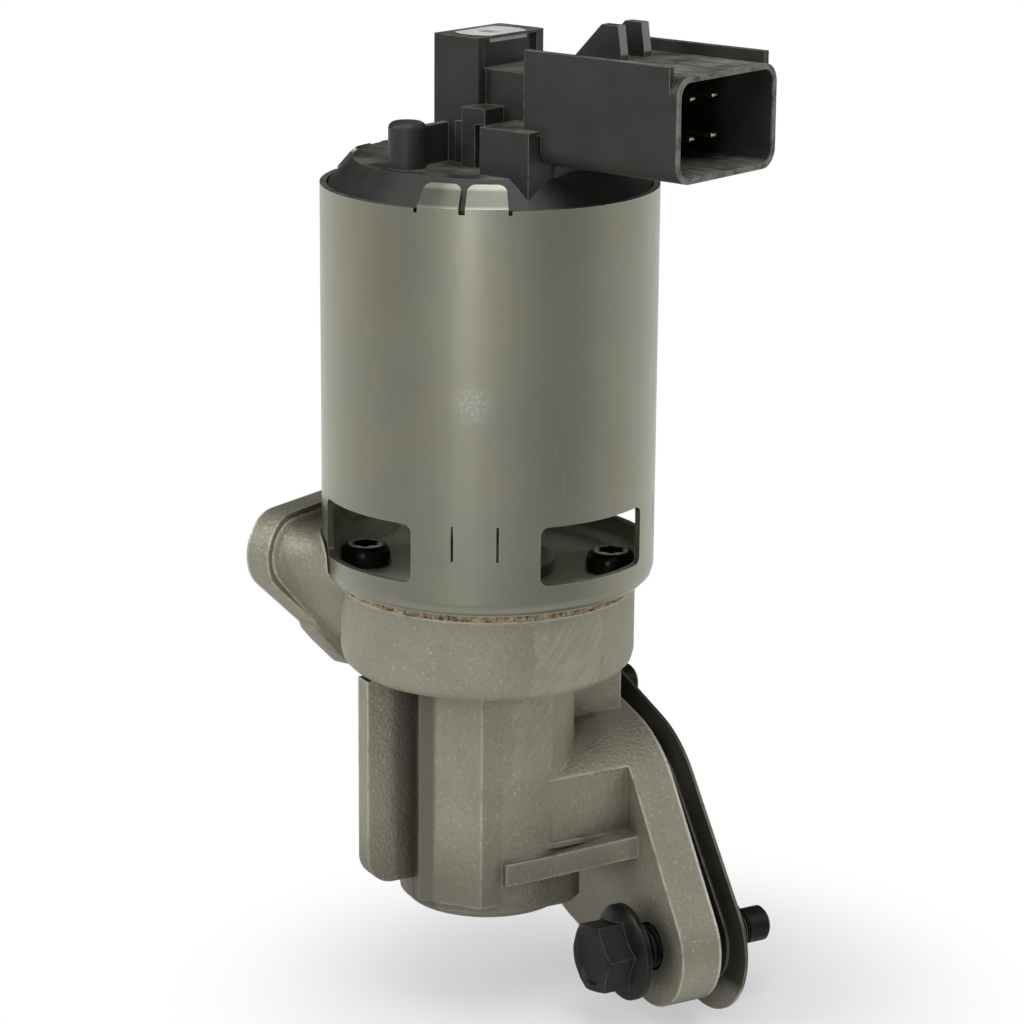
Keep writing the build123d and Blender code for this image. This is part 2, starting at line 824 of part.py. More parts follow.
# Rubber ring round the cap
with BuildPart() as cap_seal_ring:
    ring(
        cap_bottom + seal_groove_level,
        cap_bottom + seal_groove_level + seal_groove_height,
        can_inner,
        cap_radius - seal_groove_depth,
    )
    outer_edges = cap_seal_ring.edges().filter_by(GeomType.CIRCLE).sort_by(SortBy.RADIUS)[-2:]
    chamfer(outer_edges, length=seal_chamfer)
cap_seal_ring.part.label = "cap_seal_ring"
export_step(cap_seal_ring.part, "parts/cap_seal_ring.step")

# Moulded cap with its sensor tower and connector shroud
with BuildPart() as cap_housing:
    with BuildSketch(profile):
        with BuildLine():
            Polyline(
                (0, cap_bottom),
                (cap_radius, cap_bottom),
                (cap_radius, cap_shoulder),
                (plateau_radius, plateau),
                (0, plateau),
                close=True,
            )
        make_face()
    revolve(axis=valve_axis)
    ring(
        cap_bottom + seal_groove_level,
        cap_bottom + seal_groove_level + seal_groove_height,
        can_radius,
        cap_radius - seal_groove_depth,
        mode=Mode.SUBTRACT,
    )

    # Sensor tower
    with BuildSketch(level(plateau, connector_angle)) as tower_plan:
        with Locations(((tower_front - tower_back) / 2, 0)):
            RectangleRounded(tower_front + tower_back, 2 * tower_half, tower_corner)
    extrude(amount=tower_height)
    block(
        connector_angle,
        (tower_front - tower_recess_depth, tower_front + 1),
        (-tower_half + tower_recess_left, tower_half - tower_recess_right),
        plateau + neck_top,
        plateau + neck_top + tower_recess_height,
        mode=Mode.SUBTRACT,
    )

    # Neck from the tower to the connector
    block(connector_angle, (0, shroud_floor), (-neck_half, neck_half), shroud_low, plateau + neck_top)
    foot_sides = (-neck_foot_half, neck_foot_half)
    block(connector_angle, (0, shroud_back), foot_sides, plateau, plateau + neck_foot_top)
    block(connector_angle, (0, shroud_back), (-neck_half, neck_half), plateau, shroud_low)

    # Connector shroud
    with BuildSketch(facing(connector_angle, shroud_back, shroud_middle)):
        RectangleRounded(2 * shroud_half, shroud_height, shroud_corner)
    extrude(amount=shroud_mouth - shroud_back)

    # Side wings that stand above the shroud
    for side in (-1, 1):
        with BuildSketch(radial(connector_angle).offset(-side * shroud_half)):
            with BuildLine():
                Polyline(
                    (wing_back, plateau + wing_foot),
                    (wing_back, shroud_low + shroud_height + wing_rise),
                    (wing_front, shroud_low + shroud_height + wing_rise),
                    (wing_front, plateau + wing_foot),
                    close=True,
                )
            make_face()
        extrude(amount=side * wing_thickness)

    # Latch teeth
    tooth_base = shroud_low + shroud_height - shroud_wall
    for start in (-tooth_side - tooth_width, tooth_side):
        with BuildSketch(radial(connector_angle).offset(-start)):
            with BuildLine():
                Polyline(
                    (tooth_foot, tooth_base),
                    (tooth_foot, tooth_base + shroud_wall),
                    (tooth_crest, tooth_base + shroud_wall + tooth_rise),
                    (tooth_end, tooth_base + shroud_wall + tooth_rise),
                    (tooth_end + 1, tooth_base),
                    close=True,
                )
            make_face()
        extrude(amount=-tooth_width)

    # Support block, post with its web, and the notched rib beside the tower
    block(connector_angle, (block_back, block_front), (-block_side, 0), cap_shoulder, plateau + block_top)
    with BuildSketch(level(plateau - 1, connector_angle)):
        with Locations((post_along, post_side)):
            Circle(post_radius)
    extrude(amount=post_height + 1)
    post_top = cap_housing.edges().filter_by(GeomType.CIRCLE)
    fillet(
        post_top.filter_by(lambda e: abs(e.center().Z - plateau - post_height) < 0.01),
        radius=post_round,
    )
    block(
        connector_angle,
        (post_along - post_web / 2, post_along + post_web / 2),
        (post_side, 0),
        plateau,
        plateau + post_height - post_round,
    )
    block(connector_angle, (nub_back, nub_back + nub_width), (-nub_side, 0), plateau, plateau + nub_top)
    block(
        connector_angle,
        (nub_back, nub_back + nub_reach),
        (-nub_side, 0),
        plateau + nub_top - nub_height,
        plateau + nub_top,
    )

    # Socket inside the shroud
    with BuildSketch(facing(connector_angle, shroud_floor, shroud_middle)):
        RectangleRounded(
            2 * (shroud_half - shroud_wall),
            shroud_height - 2 * shroud_wall,
            shroud_corner - shroud_wall,
        )
    extrude(amount=shroud_mouth - shroud_floor, mode=Mode.SUBTRACT)

    # Sensor cavity, open to the top through the plug's hole
    block(
        connector_angle,
        (-cavity_back, cavity_front),
        (-cavity_half, cavity_half),
        cap_bottom + cavity_floor,
        cavity_top,
        mode=Mode.SUBTRACT,
    )
    with BuildSketch(level(tower_top, connector_angle)):
        Circle(plug_radius + plug_fit)
        Rectangle(2 * (plug_flat + plug_fit), 2 * tower_half, mode=Mode.INTERSECT)
    extrude(amount=-plug_thickness, mode=Mode.SUBTRACT)
    ring(cavity_top, tower_top, plug_hole_radius, mode=Mode.SUBTRACT)
    ring(cap_bottom, cap_bottom + cavity_floor, plunger_radius + plunger_clearance, mode=Mode.SUBTRACT)

    # Holes for the coil's conductors and slots for the terminals
    for turn in (-lead_spread, lead_spread):
        with BuildSketch(level(cap_bottom, connector_angle + turn)):
            with Locations((lead_circle, 0)):
                Circle(lead_radius)
        extrude(amount=winding_high + lead_reach - cap_bottom, mode=Mode.SUBTRACT)
    with BuildSketch(facing(connector_angle, shroud_floor, shroud_middle)):
        with GridLocations(pin_column_pitch, pin_row_pitch, pin_columns, pin_rows):
            Rectangle(pin_width, pin_thickness)
    extrude(amount=-pin_root, mode=Mode.SUBTRACT)
cap_housing.part.label = "cap_housing"
export_step(cap_housing.part, "parts/cap_housing.step")

# Blade terminals in the socket
with BuildPart() as connector_terminals:
    with BuildSketch(facing(connector_angle, pin_root_station, shroud_middle)):
        with GridLocations(pin_column_pitch, pin_row_pitch, pin_columns, pin_rows):
            Rectangle(pin_width, pin_thickness)
    extrude(amount=pin_tip_station - pin_root_station)
    tip_face = facing(connector_angle, pin_tip_station, shroud_middle)
    tip_edges = connector_terminals.edges().filter_by(
        lambda e: abs(tip_face.to_local_coords(e.center()).Z) < 0.01
    )
    chamfer(tip_edges, length=pin_taper)
connector_terminals.part.label = "connector_terminals"
export_step(connector_terminals.part, "parts/connector_terminals.step")

# Pale disc in the top of the tower
with BuildPart() as tower_plug:
    with BuildSketch(level(tower_top - plug_thickness, connector_angle)):
        Circle(plug_radius)
        Rectangle(2 * plug_flat, 2 * tower_half, mode=Mode.INTERSECT)
        Circle(plug_hole_radius, mode=Mode.SUBTRACT)
    extrude(amount=plug_thickness)
tower_plug.part.label = "tower_plug"
export_step(tower_plug.part, "parts/tower_plug.step")

# Sealant in the disc's hole
with BuildPart() as plug_sealant:
    ring(cavity_top, tower_top - plug_thickness / 3, plug_hole_radius)
plug_sealant.part.label = "plug_sealant"
export_step(plug_sealant.part, "parts/plug_sealant.step")

# Plunger that follows the armature nut
plunger_top = nut_top + plunger_length
with BuildPart() as sensor_plunger:
    ring(nut_top, plunger_top, plunger_radius)
sensor_plunger.part.label = "sensor_plunger"
export_step(sensor_plunger.part, "parts/sensor_plunger.step")

# Wiper carrier with two contact fingers
track_face = -cavity_back + track_thickness
with BuildPart() as sensor_wiper:
    block(
        connector_angle,
        (-wiper_depth + 0.4, wiper_depth),
        (-wiper_half, wiper_half),
        plunger_top,
        plunger_top + wiper_height,
    )
    for spot in (-wiper_half / 2, wiper_half / 2):
        block(
            connector_angle,
            (track_face + 0.2, track_face + 0.2 + finger_reach + 0.5),
            (spot - finger_width / 2, spot + finger_width / 2),
            plunger_top + wiper_height / 2,
            plunger_top + wiper_height,
        )
sensor_wiper.part.label = "sensor_wiper"
export_step(sensor_wiper.part, "parts/sensor_wiper.step")

# Resistive track card on the cavity's wall
with BuildPart() as sensor_track:
    block(
        connector_angle,
        (-cavity_back, track_face),
        (-track_half, track_half),
        cap_bottom + track_level,
        cap_bottom + track_level + track_length,
    )
sensor_track.part.label = "sensor_track"
export_step(sensor_track.part, "parts/sensor_track.step")

# Light spring that keeps the wiper down
light_low = plunger_top + wiper_height + sensor_wire_radius
light_high = cavity_top - sensor_wire_radius
with BuildPart() as sensor_spring:
    with BuildLine() as light_line:
        Helix(
            pitch=(light_high - light_low) / sensor_spring_turns,
            height=light_high - light_low,
            radius=sensor_spring_radius,
            center=(valve_x, 0, light_low),
        )
    with BuildSketch(Plane(origin=light_line.line @ 0, z_dir=light_line.line % 0)):
        RegularPolygon(sensor_wire_radius, 4)
    sweep(path=light_line.line, is_frenet=True)
sensor_spring.part.label = "sensor_spring"
export_step(sensor_spring.part, "parts/sensor_spring.step")

# Mounting bolts, drawn back from their seats by the bolt travel. Their thread is drawn at full
# size only past the gasket, where it enters the engine, and at its pitch radius before that.
washer_face = -flange_thickness - bolt_travel
waist_length = steel_gasket_gap + steel_gasket_thickness + waist_margin - washer_face
for bolt_name, spot in zip(("mounting_bolt_upper", "mounting_bolt_lower"), bolt_spots):
    bolt_seat = Plane(origin=(washer_face, spot[0], spot[1]), x_dir=(0, 1, 0), z_dir=(1, 0, 0))
    bolt_axis = Axis((0, spot[0], spot[1]), (1, 0, 0))
    head_end = bolt_seat.offset(-bolt_head_height)
    with BuildPart() as mounting_bolt:
        with BuildSketch(head_end):
            RegularPolygon(bolt_across_flats / 2, 6, major_radius=False)
        extrude(amount=bolt_head_height)
        with BuildSketch(bolt_seat):
            Circle(bolt_flange_radius)
        extrude(amount=-bolt_flange_thickness)
        with BuildSketch(bolt_seat.offset(-bolt_flange_thickness)):
            Circle(bolt_flange_radius - 0.6)
        extrude(amount=-1.6, taper=35)
        with BuildSketch(head_end):
            Circle(bolt_across_flats / 2 - 1.2)
        extrude(amount=bolt_dish, mode=Mode.SUBTRACT)
        with BuildSketch(bolt_seat):
            Circle(waist_radius)
        extrude(amount=waist_length)
        with BuildSketch(bolt_seat.offset(waist_length)):
            Circle(thread_radius)
        extrude(amount=bolt_shank - waist_length)
        with BuildSketch(bolt_seat.offset(bolt_shank)):
            Circle(dog_radius)
        extrude(amount=dog_length)
        far_edges = mounting_bolt.edges().filter_by(GeomType.CIRCLE).sort_by(Axis.X)[-1]
        chamfer(far_edges, length=0.5)
    mounting_bolt.part.label = bolt_name
    export_step(mounting_bolt.part, "parts/" + bolt_name + ".step")

# Embossed steel gasket that hangs on the bolts
gasket_middle = flange_middle_radius + steel_gasket_middle_margin
gasket_lobe = flange_lobe_radius + steel_gasket_lobe_margin
gasket_plane = Plane(
    origin=(steel_gasket_gap, 0, -steel_gasket_drop),
    x_dir=(0, 1, 0),
    z_dir=(1, 0, 0),
)
with BuildPart() as mounting_gasket:
    extrude(
        diamond(gasket_plane, gasket_middle, gasket_lobe, bolt_spots),
        amount=steel_gasket_thickness,
    )
    bead_outer = diamond(gasket_plane, gasket_middle - bead_inset, gasket_lobe - bead_inset, bolt_spots)
    inner_inset = bead_inset + bead_width
    bead_inner = diamond(gasket_plane, gasket_middle - inner_inset, gasket_lobe - inner_inset, bolt_spots)
    extrude(bead_outer - bead_inner, amount=-bead_height)
    with BuildSketch(gasket_plane.offset(-bead_height)):
        with Locations(*bolt_spots):
            Circle(gasket_hole_radius)
        with Locations((0, exhaust_port_height)):
            Circle(exhaust_port_radius + 0.5)
    extrude(amount=bead_height + steel_gasket_thickness, mode=Mode.SUBTRACT)
mounting_gasket.part.label = "mounting_gasket"
export_step(mounting_gasket.part, "parts/mounting_gasket.step")
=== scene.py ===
"""Looks of an exhaust gas recirculation valve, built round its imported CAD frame."""

import json
import math

import bmesh
import bpy
from bpy.props import FloatProperty, FloatVectorProperty, IntProperty, PointerProperty
from mathutils import Matrix, Vector, noise

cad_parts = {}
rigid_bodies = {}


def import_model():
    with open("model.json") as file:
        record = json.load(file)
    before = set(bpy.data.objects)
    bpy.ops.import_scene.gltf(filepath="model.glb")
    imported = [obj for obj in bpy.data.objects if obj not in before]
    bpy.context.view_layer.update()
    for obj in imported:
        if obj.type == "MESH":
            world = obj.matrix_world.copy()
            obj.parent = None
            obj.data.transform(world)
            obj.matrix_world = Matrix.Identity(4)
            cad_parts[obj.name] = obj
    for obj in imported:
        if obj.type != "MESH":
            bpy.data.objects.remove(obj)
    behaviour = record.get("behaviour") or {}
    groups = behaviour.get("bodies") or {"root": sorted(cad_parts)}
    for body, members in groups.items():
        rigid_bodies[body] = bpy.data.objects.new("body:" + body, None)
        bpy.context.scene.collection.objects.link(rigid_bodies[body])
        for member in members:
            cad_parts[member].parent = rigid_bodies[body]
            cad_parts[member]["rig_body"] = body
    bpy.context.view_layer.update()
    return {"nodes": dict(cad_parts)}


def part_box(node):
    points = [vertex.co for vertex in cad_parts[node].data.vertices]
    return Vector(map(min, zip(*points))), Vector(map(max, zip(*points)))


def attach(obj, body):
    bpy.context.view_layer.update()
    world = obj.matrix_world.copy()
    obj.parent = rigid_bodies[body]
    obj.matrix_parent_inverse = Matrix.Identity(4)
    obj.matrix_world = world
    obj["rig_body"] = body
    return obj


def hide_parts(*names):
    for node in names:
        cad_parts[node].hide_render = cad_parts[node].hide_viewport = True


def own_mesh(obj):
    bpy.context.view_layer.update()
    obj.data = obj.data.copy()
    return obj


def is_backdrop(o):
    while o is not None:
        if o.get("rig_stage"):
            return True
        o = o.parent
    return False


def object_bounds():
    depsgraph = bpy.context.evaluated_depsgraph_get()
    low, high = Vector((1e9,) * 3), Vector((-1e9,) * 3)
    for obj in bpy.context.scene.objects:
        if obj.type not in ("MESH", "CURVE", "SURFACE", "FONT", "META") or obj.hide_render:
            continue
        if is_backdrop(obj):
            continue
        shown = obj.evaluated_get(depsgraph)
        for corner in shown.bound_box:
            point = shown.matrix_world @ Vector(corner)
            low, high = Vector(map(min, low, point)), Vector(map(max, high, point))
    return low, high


bl_info = {
    "name": "EGR valve looks",
    "version": (1, 0, 0),
    "blender": (4, 5, 0),
    "location": "View3D > Sidebar > EGR valve",
    "description": "Builds the pieces, finishes and studio of an exhaust gas recirculation valve",
    "category": "Object",
}

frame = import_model()

MM = 0.001
VALVE_BODY_NAME = "valve"
can_low, can_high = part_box("solenoid_can")
AXIS_X = (can_low.x + can_high.x) / 2
CAN_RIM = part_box("base_gasket")[1].z + 71.9 * MM

# Headings in degrees from the camera's side, to the right, and how bright the room is there
ROOM_STOPS = (
    (-180, 1.0), (-125, 1.0), (-92, 0.66), (-60, 0.45), (30, 0.42),
    (58, 0.34), (90, 0.62), (130, 0.95), (180, 1.0),
)
CARD_STOPS = ((-180, 0.0), (-52, 0.0), (-26, 0.5), (10, 0.5), (34, 0.0), (180, 0.0))

# Heading of the side flange's face, its distance from the valve axis and its middle's height, and
# the connector's heading
OUTLET_HEADING = math.radians(116.6)
OUTLET_FACE = 35.5 * MM
OUTLET_HEIGHT = 48 * MM
CONNECTOR_HEADING = math.radians(-68.9)

# How bright the world is to anything but the camera
WORLD_LEVEL = 0.05088

# Patches of a finish round the valve axis: two angles in degrees and two heights, each with its soft edge
GROUND_STRIP = ((-95.0, -64.0, 1.2), (17 * MM, 49.3 * MM, 1.5 * MM))
PALE_NEAR_PATCH = ((-129.0, -119.0, 4.0), (87.5 * MM, 92.5 * MM, 2.5 * MM))
RIM_STAIN = ((-175.0, -150.0, 5.0), (103 * MM, 121 * MM, 6 * MM))

# Side flange's neck and lower lug, in mm: discs that the outline goes round as across, up and
# radius, the middle that its rings are drawn from, and the rings as swell and depth
NECK_FORMS = (
    (
        ((0, 0, 11.3), (18, 6.5, 4.9), (-18, -6.5, 4.9), (-2.5, -13.4, 4.6)),
        (0, 0),
        ((1.6, 0.2), (1.5, 0), (0.45, -0.5), (0.1, -1.3), (0, -2.4), (0, -5), (0, -8), (0, -13.4)),
    ),
    (
        ((-2.5, -14.4, 6.15), (9.0, -9.6, 1.9), (-11, -9, 2.0)),
        (-2.0, -13.2),
        ((-0.8, 4.8), (-0.25, 4.55), (0, 4.0), (0, 0.8), (-0.25, 0.25), (-0.8, 0)),
    ),
)
RING_STEPS = 96
EDGE_ANGLE = math.radians(32)

# Soft boxes: heading from the camera's side and rise in degrees, distance, width and height in
# metres, and power as a share of the key light's
SOFT_BOXES = (
    ("key light", -14, 12, 1.1, 0.16, 0.9, 1.0),
    ("top light", 10, 68, 1.1, 0.8, 0.8, 2.8),
    ("side light", 84, 24, 1.2, 0.5, 0.9, 1.1),
    ("left light", -72, 38, 1.1, 0.5, 0.7, 2.0),
)


# Settings that a user would change


def colour_setting(name, description, default):
    """A colour that a user may change."""
    return FloatVectorProperty(
        name=name,
        description=description,
        subtype="COLOR",
        size=4,
        min=0.0,
        max=1.0,
        default=default + (1.0,),
    )


def length_setting(name, description, default, low=0.0):
    """A length that a user may change."""
    return FloatProperty(
        name=name,
        description=description,
        subtype="DISTANCE",
        unit="LENGTH",
        min=low,
        default=default,
    )


class ValveColours(bpy.types.PropertyGroup):
    """Colours of the valve's finishes"""

    cast: colour_setting("Cast aluminium", "Blasted casting of the valve body", (0.40, 0.385, 0.295))
    can: colour_setting("Can steel", "Plated steel of the solenoid can", (0.33, 0.325, 0.255))
    plastic: colour_setting("Cap plastic", "Black moulding of the cap and connector", (0.030, 0.029, 0.0255))
    bolt: colour_setting("Bolt coating", "Black coating of the bolts and base screws", (0.020, 0.019, 0.017))
    fibre: colour_setting("Fibre gasket", "Tan pressed fibre of the gasket under the can", (0.42, 0.33, 0.20))


class ValveSizes(bpy.types.PropertyGroup):
    """Edge rounds and thread sizes of the valve's pieces"""

    cast_edge: length_setting("Casting edge", "Round on the edges of the cast body", 0.9 * MM)
    steel_edge: length_setting("Steel edge", "Round on the edges of the sheet steel can", 0.18 * MM)
    plastic_edge: length_setting("Plastic edge", "Round on the edges of the moulded cap", 0.28 * MM)
    thread_pitch: length_setting("Thread pitch", "Pitch of the mounting bolts' thread", 1.25 * MM, 0.2 * MM)
    thread_steps: IntProperty(
        name="Thread steps",
        description="Steps in one turn of a thread",
        min=8,
        default=32,
    )


class ValveStudio(bpy.types.PropertyGroup):
    """Camera and light of the studio"""

    distance: length_setting("Camera distance", "Distance from the camera to what it looks at", 0.6176, 0.1)
    lens: FloatProperty(
        name="Focal length",
        description="Focal length of the camera on a 36 mm sensor",
        subtype="DISTANCE_CAMERA",
        min=10.0,
        default=120.16,
    )
    key_power: FloatProperty(
        name="Key light",
        description="Power of the soft key light",
        subtype="POWER",
        unit="POWER",
        min=0.0,
        default=2.2,
    )


# Node helpers


def add_node(tree, kind, values=None, **settings):
    """Adds a node, applies its settings, and fills its inputs with values or links."""
    node = tree.nodes.new(kind)
    for key, value in settings.items():
        setattr(node, key, value)
    for key, value in (values or {}).items():
        if isinstance(value, bpy.types.NodeSocket):
            tree.links.new(value, node.inputs[key])
        else:
            node.inputs[key].default_value = value
    return node


def maths(tree, operation, first, second, clamp=False):
    """One Math node and its output."""
    node = add_node(tree, "ShaderNodeMath", {0: first, 1: second}, operation=operation, use_clamp=clamp)
    return node.outputs[0]


def times(tree, *values):
    """The product of two or more values."""
    product = values[-1]
    for value in reversed(values[:-1]):
        product = maths(tree, "MULTIPLY", value, product)
    return product


def remap(tree, value, low, high, to_low=0.0, to_high=1.0):
    """Maps a value range smoothly to another."""
    values = {"Value": value, "From Min": low, "From Max": high, "To Min": to_low, "To Max": to_high}
    node = add_node(tree, "ShaderNodeMapRange", values, interpolation_type="SMOOTHSTEP")
    return node.outputs["Result"]


def mix_colour(tree, factor, first, second):
    """Mixes two colours."""
    values = {0: factor, 6: first, 7: second}
    return add_node(tree, "ShaderNodeMix", values, data_type="RGBA", clamp_factor=True).outputs[2]


def object_point(tree, scale=(1, 1, 1), shift=(0, 0, 0)):
    """Object coordinates through a Mapping node."""
    coordinates = add_node(tree, "ShaderNodeTexCoord")
    values = {"Vector": coordinates.outputs["Object"], "Location": shift, "Scale": scale}
    return add_node(tree, "ShaderNodeMapping", values).outputs["Vector"]


def noise_value(tree, point, scale, detail, rough, distortion=0.0):
    """The value of a Noise texture."""
    values = {"Vector": point, "Scale": scale, "Detail": detail, "Roughness": rough, "Distortion": distortion}
    return add_node(tree, "ShaderNodeTexNoise", values).outputs["Fac"]


def object_noise(tree, scale, detail=4.0, rough=0.55, distortion=0.0):
    """The value of a Noise texture on Object coordinates."""
    return noise_value(tree, object_point(tree), scale, detail, rough, distortion)


def dot_product(tree, first, second):
    """The dot product of two vectors."""
    node = add_node(tree, "ShaderNodeVectorMath", {0: first, 1: second}, operation="DOT_PRODUCT")
    return node.outputs["Value"]


def surface_normal(tree):
    """The surface's normal."""
    return add_node(tree, "ShaderNodeNewGeometry").outputs["Normal"]


def facing_up(tree, low, high):
    """Mask of the surfaces that face up."""
    parts = add_node(tree, "ShaderNodeSeparateXYZ", {0: surface_normal(tree)})
    return remap(tree, parts.outputs["Z"], low, high)


def new_group(name, inputs, outputs):
    """A shader node group with float inputs and named outputs."""
    group = bpy.data.node_groups.new(name, "ShaderNodeTree")
    for label, value in inputs:
        socket = group.interface.new_socket(name=label, in_out="INPUT", socket_type="NodeSocketFloat")
        socket.default_value = value
    for label in outputs:
        group.interface.new_socket(name=label, in_out="OUTPUT", socket_type="NodeSocketFloat")
    return group, add_node(group, "NodeGroupInput"), add_node(group, "NodeGroupOutput")


def edge_wear(name):
    """Mask of the worn strips along outside edges."""
    inputs = [("Width", 0.4 * MM), ("Breakup", 400.0), ("Amount", 1.0)]
    group, source, sink = new_group(name, inputs, ["Mask"])
    round_normal = add_node(group, "ShaderNodeBevel", {"Radius": source.outputs["Width"]}, samples=6)
    facing = dot_product(group, round_normal.outputs[0], surface_normal(group))
    edge = remap(group, facing, 0.992, 0.90)
    patches = object_noise(group, source.outputs["Breakup"], 3.0)
    broken = remap(group, patches, 0.30, 0.52)
    worn = times(group, edge, broken)
    mask = maths(group, "MULTIPLY", worn, source.outputs["Amount"], clamp=True)
    group.links.new(mask, sink.inputs["Mask"])
    return group


def surface_grain(name):
    """Fine blasted or moulded grain, as a height and a slow tone."""
    group, source, sink = new_group(name, [("Scale", 2500.0), ("Tone Scale", 60.0)], ["Height", "Tone"])
    point = object_point(group)
    fine = noise_value(group, point, source.outputs["Scale"], 3.0, 0.65)
    pits = add_node(
        group,
        "ShaderNodeTexVoronoi",
        {"Vector": point, "Scale": source.outputs["Scale"], "Randomness": 1.0},
    )
    pit_depth = times(group, pits.outputs["Distance"], 0.5)
    height = maths(group, "ADD", fine, pit_depth)
    tone = noise_value(group, point, source.outputs["Tone Scale"], 5.0, 0.6)
    group.links.new(height, sink.inputs["Height"])
    group.links.new(tone, sink.inputs["Tone"])
    return group


def dust_and_top_light(name):
    """Mask of pale dust on the surfaces that face up, which also paints light on the tops."""
    group, source, sink = new_group(name, [("Scale", 90.0), ("Amount", 0.5)], ["Mask"])
    upward = facing_up(group, 0.75, 0.97)
    patches = object_noise(group, source.outputs["Scale"], 6.0, 0.62)
    clouds = remap(group, patches, 0.30, 0.75)
    dust_and_light = times(group, upward, clouds)
    mask = maths(group, "MULTIPLY", dust_and_light, source.outputs["Amount"], clamp=True)
    group.links.new(mask, sink.inputs["Mask"])
    return group


def room_tone(tree, way, to_camera):
    """Brightness of the studio's room by heading from the camera's side, and its bright card."""
    heading = math.atan2(to_camera.y, to_camera.x)
    turned = add_node(tree, "ShaderNodeMapping", {"Vector": way, "Rotation": (0, 0, -heading)})
    parts = add_node(tree, "ShaderNodeSeparateXYZ", {0: turned.outputs["Vector"]})
    angle = maths(tree, "ARCTAN2", parts.outputs["Y"], parts.outputs["X"])
    share = add_node(tree, "ShaderNodeMapRange", {"Value": angle, "From Min": -math.pi, "From Max": math.pi})
    tones = []
    for stops in (ROOM_STOPS, CARD_STOPS):
        ramp = add_node(tree, "ShaderNodeValToRGB", {"Fac": share.outputs["Result"]})
        ramp.color_ramp.interpolation = "B_SPLINE"
        elements = ramp.color_ramp.elements
        while len(elements) < len(stops):
            elements.new(0.5)
        for element, (degrees, tone) in zip(elements, stops):
            element.position = (degrees + 180) / 360
            element.color = (tone, tone, tone, 1.0)
        tones.append(ramp.outputs["Color"])
    return tones


def direct_view(tree):
    """Light Path's outputs, and one where the camera looks, also through glass."""
    path = add_node(tree, "ShaderNodeLightPath").outputs
    return path, maths(tree, "MAXIMUM", path["Is Camera Ray"], path["Is Transmission Ray"])


def painted_corner_shade(name):
    """Mask of painted shade in corners, from ambient occlusion."""
    group, source, sink = new_group(name, [("Reach", 3.0 * MM), ("Amount", 0.6)], ["Mask"])
    hidden = add_node(group, "ShaderNodeAmbientOcclusion", {"Distance": source.outputs["Reach"]}, samples=6)
    corner = remap(group, hidden.outputs["AO"], 0.80, 0.25)
    mask = maths(group, "MULTIPLY", corner, source.outputs["Amount"], clamp=True)
    group.links.new(mask, sink.inputs["Mask"])
    return group


def use_group(tree, build, values):
    """Places a shared group in a material with its own values, built where it isn't there yet."""
    name = build.__name__.replace("_", " ")
    group = bpy.data.node_groups.get(name) or build(name)
    return add_node(tree, "ShaderNodeGroup", values, node_tree=group)


def finish(name, colour, metallic, rough, grain, bump, tone, wear_colour=None, wear=None, dust_and_light=None):
    """A worn, grained finish: base tone, dust that also paints light on the tops, worn edges, roughness and
    bump.
    """
    material = bpy.data.materials.new(name)
    material.use_nodes = True
    tree = material.node_tree
    shader = tree.nodes["Principled BSDF"]
    shader.inputs["Metallic"].default_value = metallic
    base = tuple(colour)[:3] + (1.0,)
    grains = use_group(tree, surface_grain, {"Scale": grain[0], "Tone Scale": grain[1]})
    light = tuple(min(1.0, c * (1 + tone)) for c in base[:3]) + (1.0,)
    dark = tuple(c * (1 - tone) for c in base[:3]) + (1.0,)
    slow = remap(tree, grains.outputs["Tone"], 0.3, 0.7)
    shade = mix_colour(tree, slow, dark, light)
    roughness = remap(tree, grains.outputs["Tone"], 0.25, 0.75, rough[0], rough[1])
    # Pale dust on the tops, partly painted light from above
    if dust_and_light:
        dust_light = use_group(tree, dust_and_top_light, {"Scale": dust_and_light[1], "Amount": dust_and_light[2]})
        shade = mix_colour(tree, dust_light.outputs["Mask"], shade, tuple(dust_and_light[0]) + (1.0,))
    if wear_colour:
        worn = use_group(tree, edge_wear, {"Width": wear[0], "Breakup": wear[1], "Amount": wear[2]})
        shade = mix_colour(tree, worn.outputs["Mask"], shade, tuple(wear_colour) + (1.0,))
    values = {"Height": grains.outputs["Height"], "Distance": bump[0], "Strength": bump[1]}
    relief = add_node(tree, "ShaderNodeBump", values)
    tree.links.new(shade, shader.inputs["Base Color"])
    tree.links.new(roughness, shader.inputs["Roughness"])
    tree.links.new(relief.outputs["Normal"], shader.inputs["Normal"])
    return material


def overlay(material, mask, colour):
    """Lays a colour over a material's base colour by a mask."""
    tree = material.node_tree
    base = tree.nodes["Principled BSDF"].inputs["Base Color"]
    under = base.links[0].from_socket
    tree.links.new(mix_colour(tree, mask, under, tuple(colour) + (1.0,)), base)


def roughen(material, mask, value):
    """Moves a material's roughness towards a value by a mask."""
    tree = material.node_tree
    rough = tree.nodes["Principled BSDF"].inputs["Roughness"]
    under = rough.links[0].from_socket
    mixed = add_node(tree, "ShaderNodeMix", {0: mask, 2: under, 3: value}, data_type="FLOAT")
    tree.links.new(mixed.outputs[0], rough)


def unmetal(material, mask, value):
    """Moves a material's plain metallic value towards another by a mask."""
    tree = material.node_tree
    socket = tree.nodes["Principled BSDF"].inputs["Metallic"]
    mixed = add_node(tree, "ShaderNodeMix", {0: mask, 2: socket.default_value, 3: value}, data_type="FLOAT")
    tree.links.new(mixed.outputs[0], socket)


def emboss(material, height, distance, strength):
    """Adds a second relief on top of a material's own bump."""
    tree = material.node_tree
    normal = tree.nodes["Principled BSDF"].inputs["Normal"]
    under = normal.links[0].from_socket
    values = {"Height": height, "Distance": distance, "Strength": strength, "Normal": under}
    relief = add_node(tree, "ShaderNodeBump", values)
    tree.links.new(relief.outputs["Normal"], normal)


def patch(tree, angle, height, spans):
    """Mask of a patch between two angles and two heights."""
    return times(tree, between(tree, angle, *spans[0]), between(tree, height, *spans[1]))


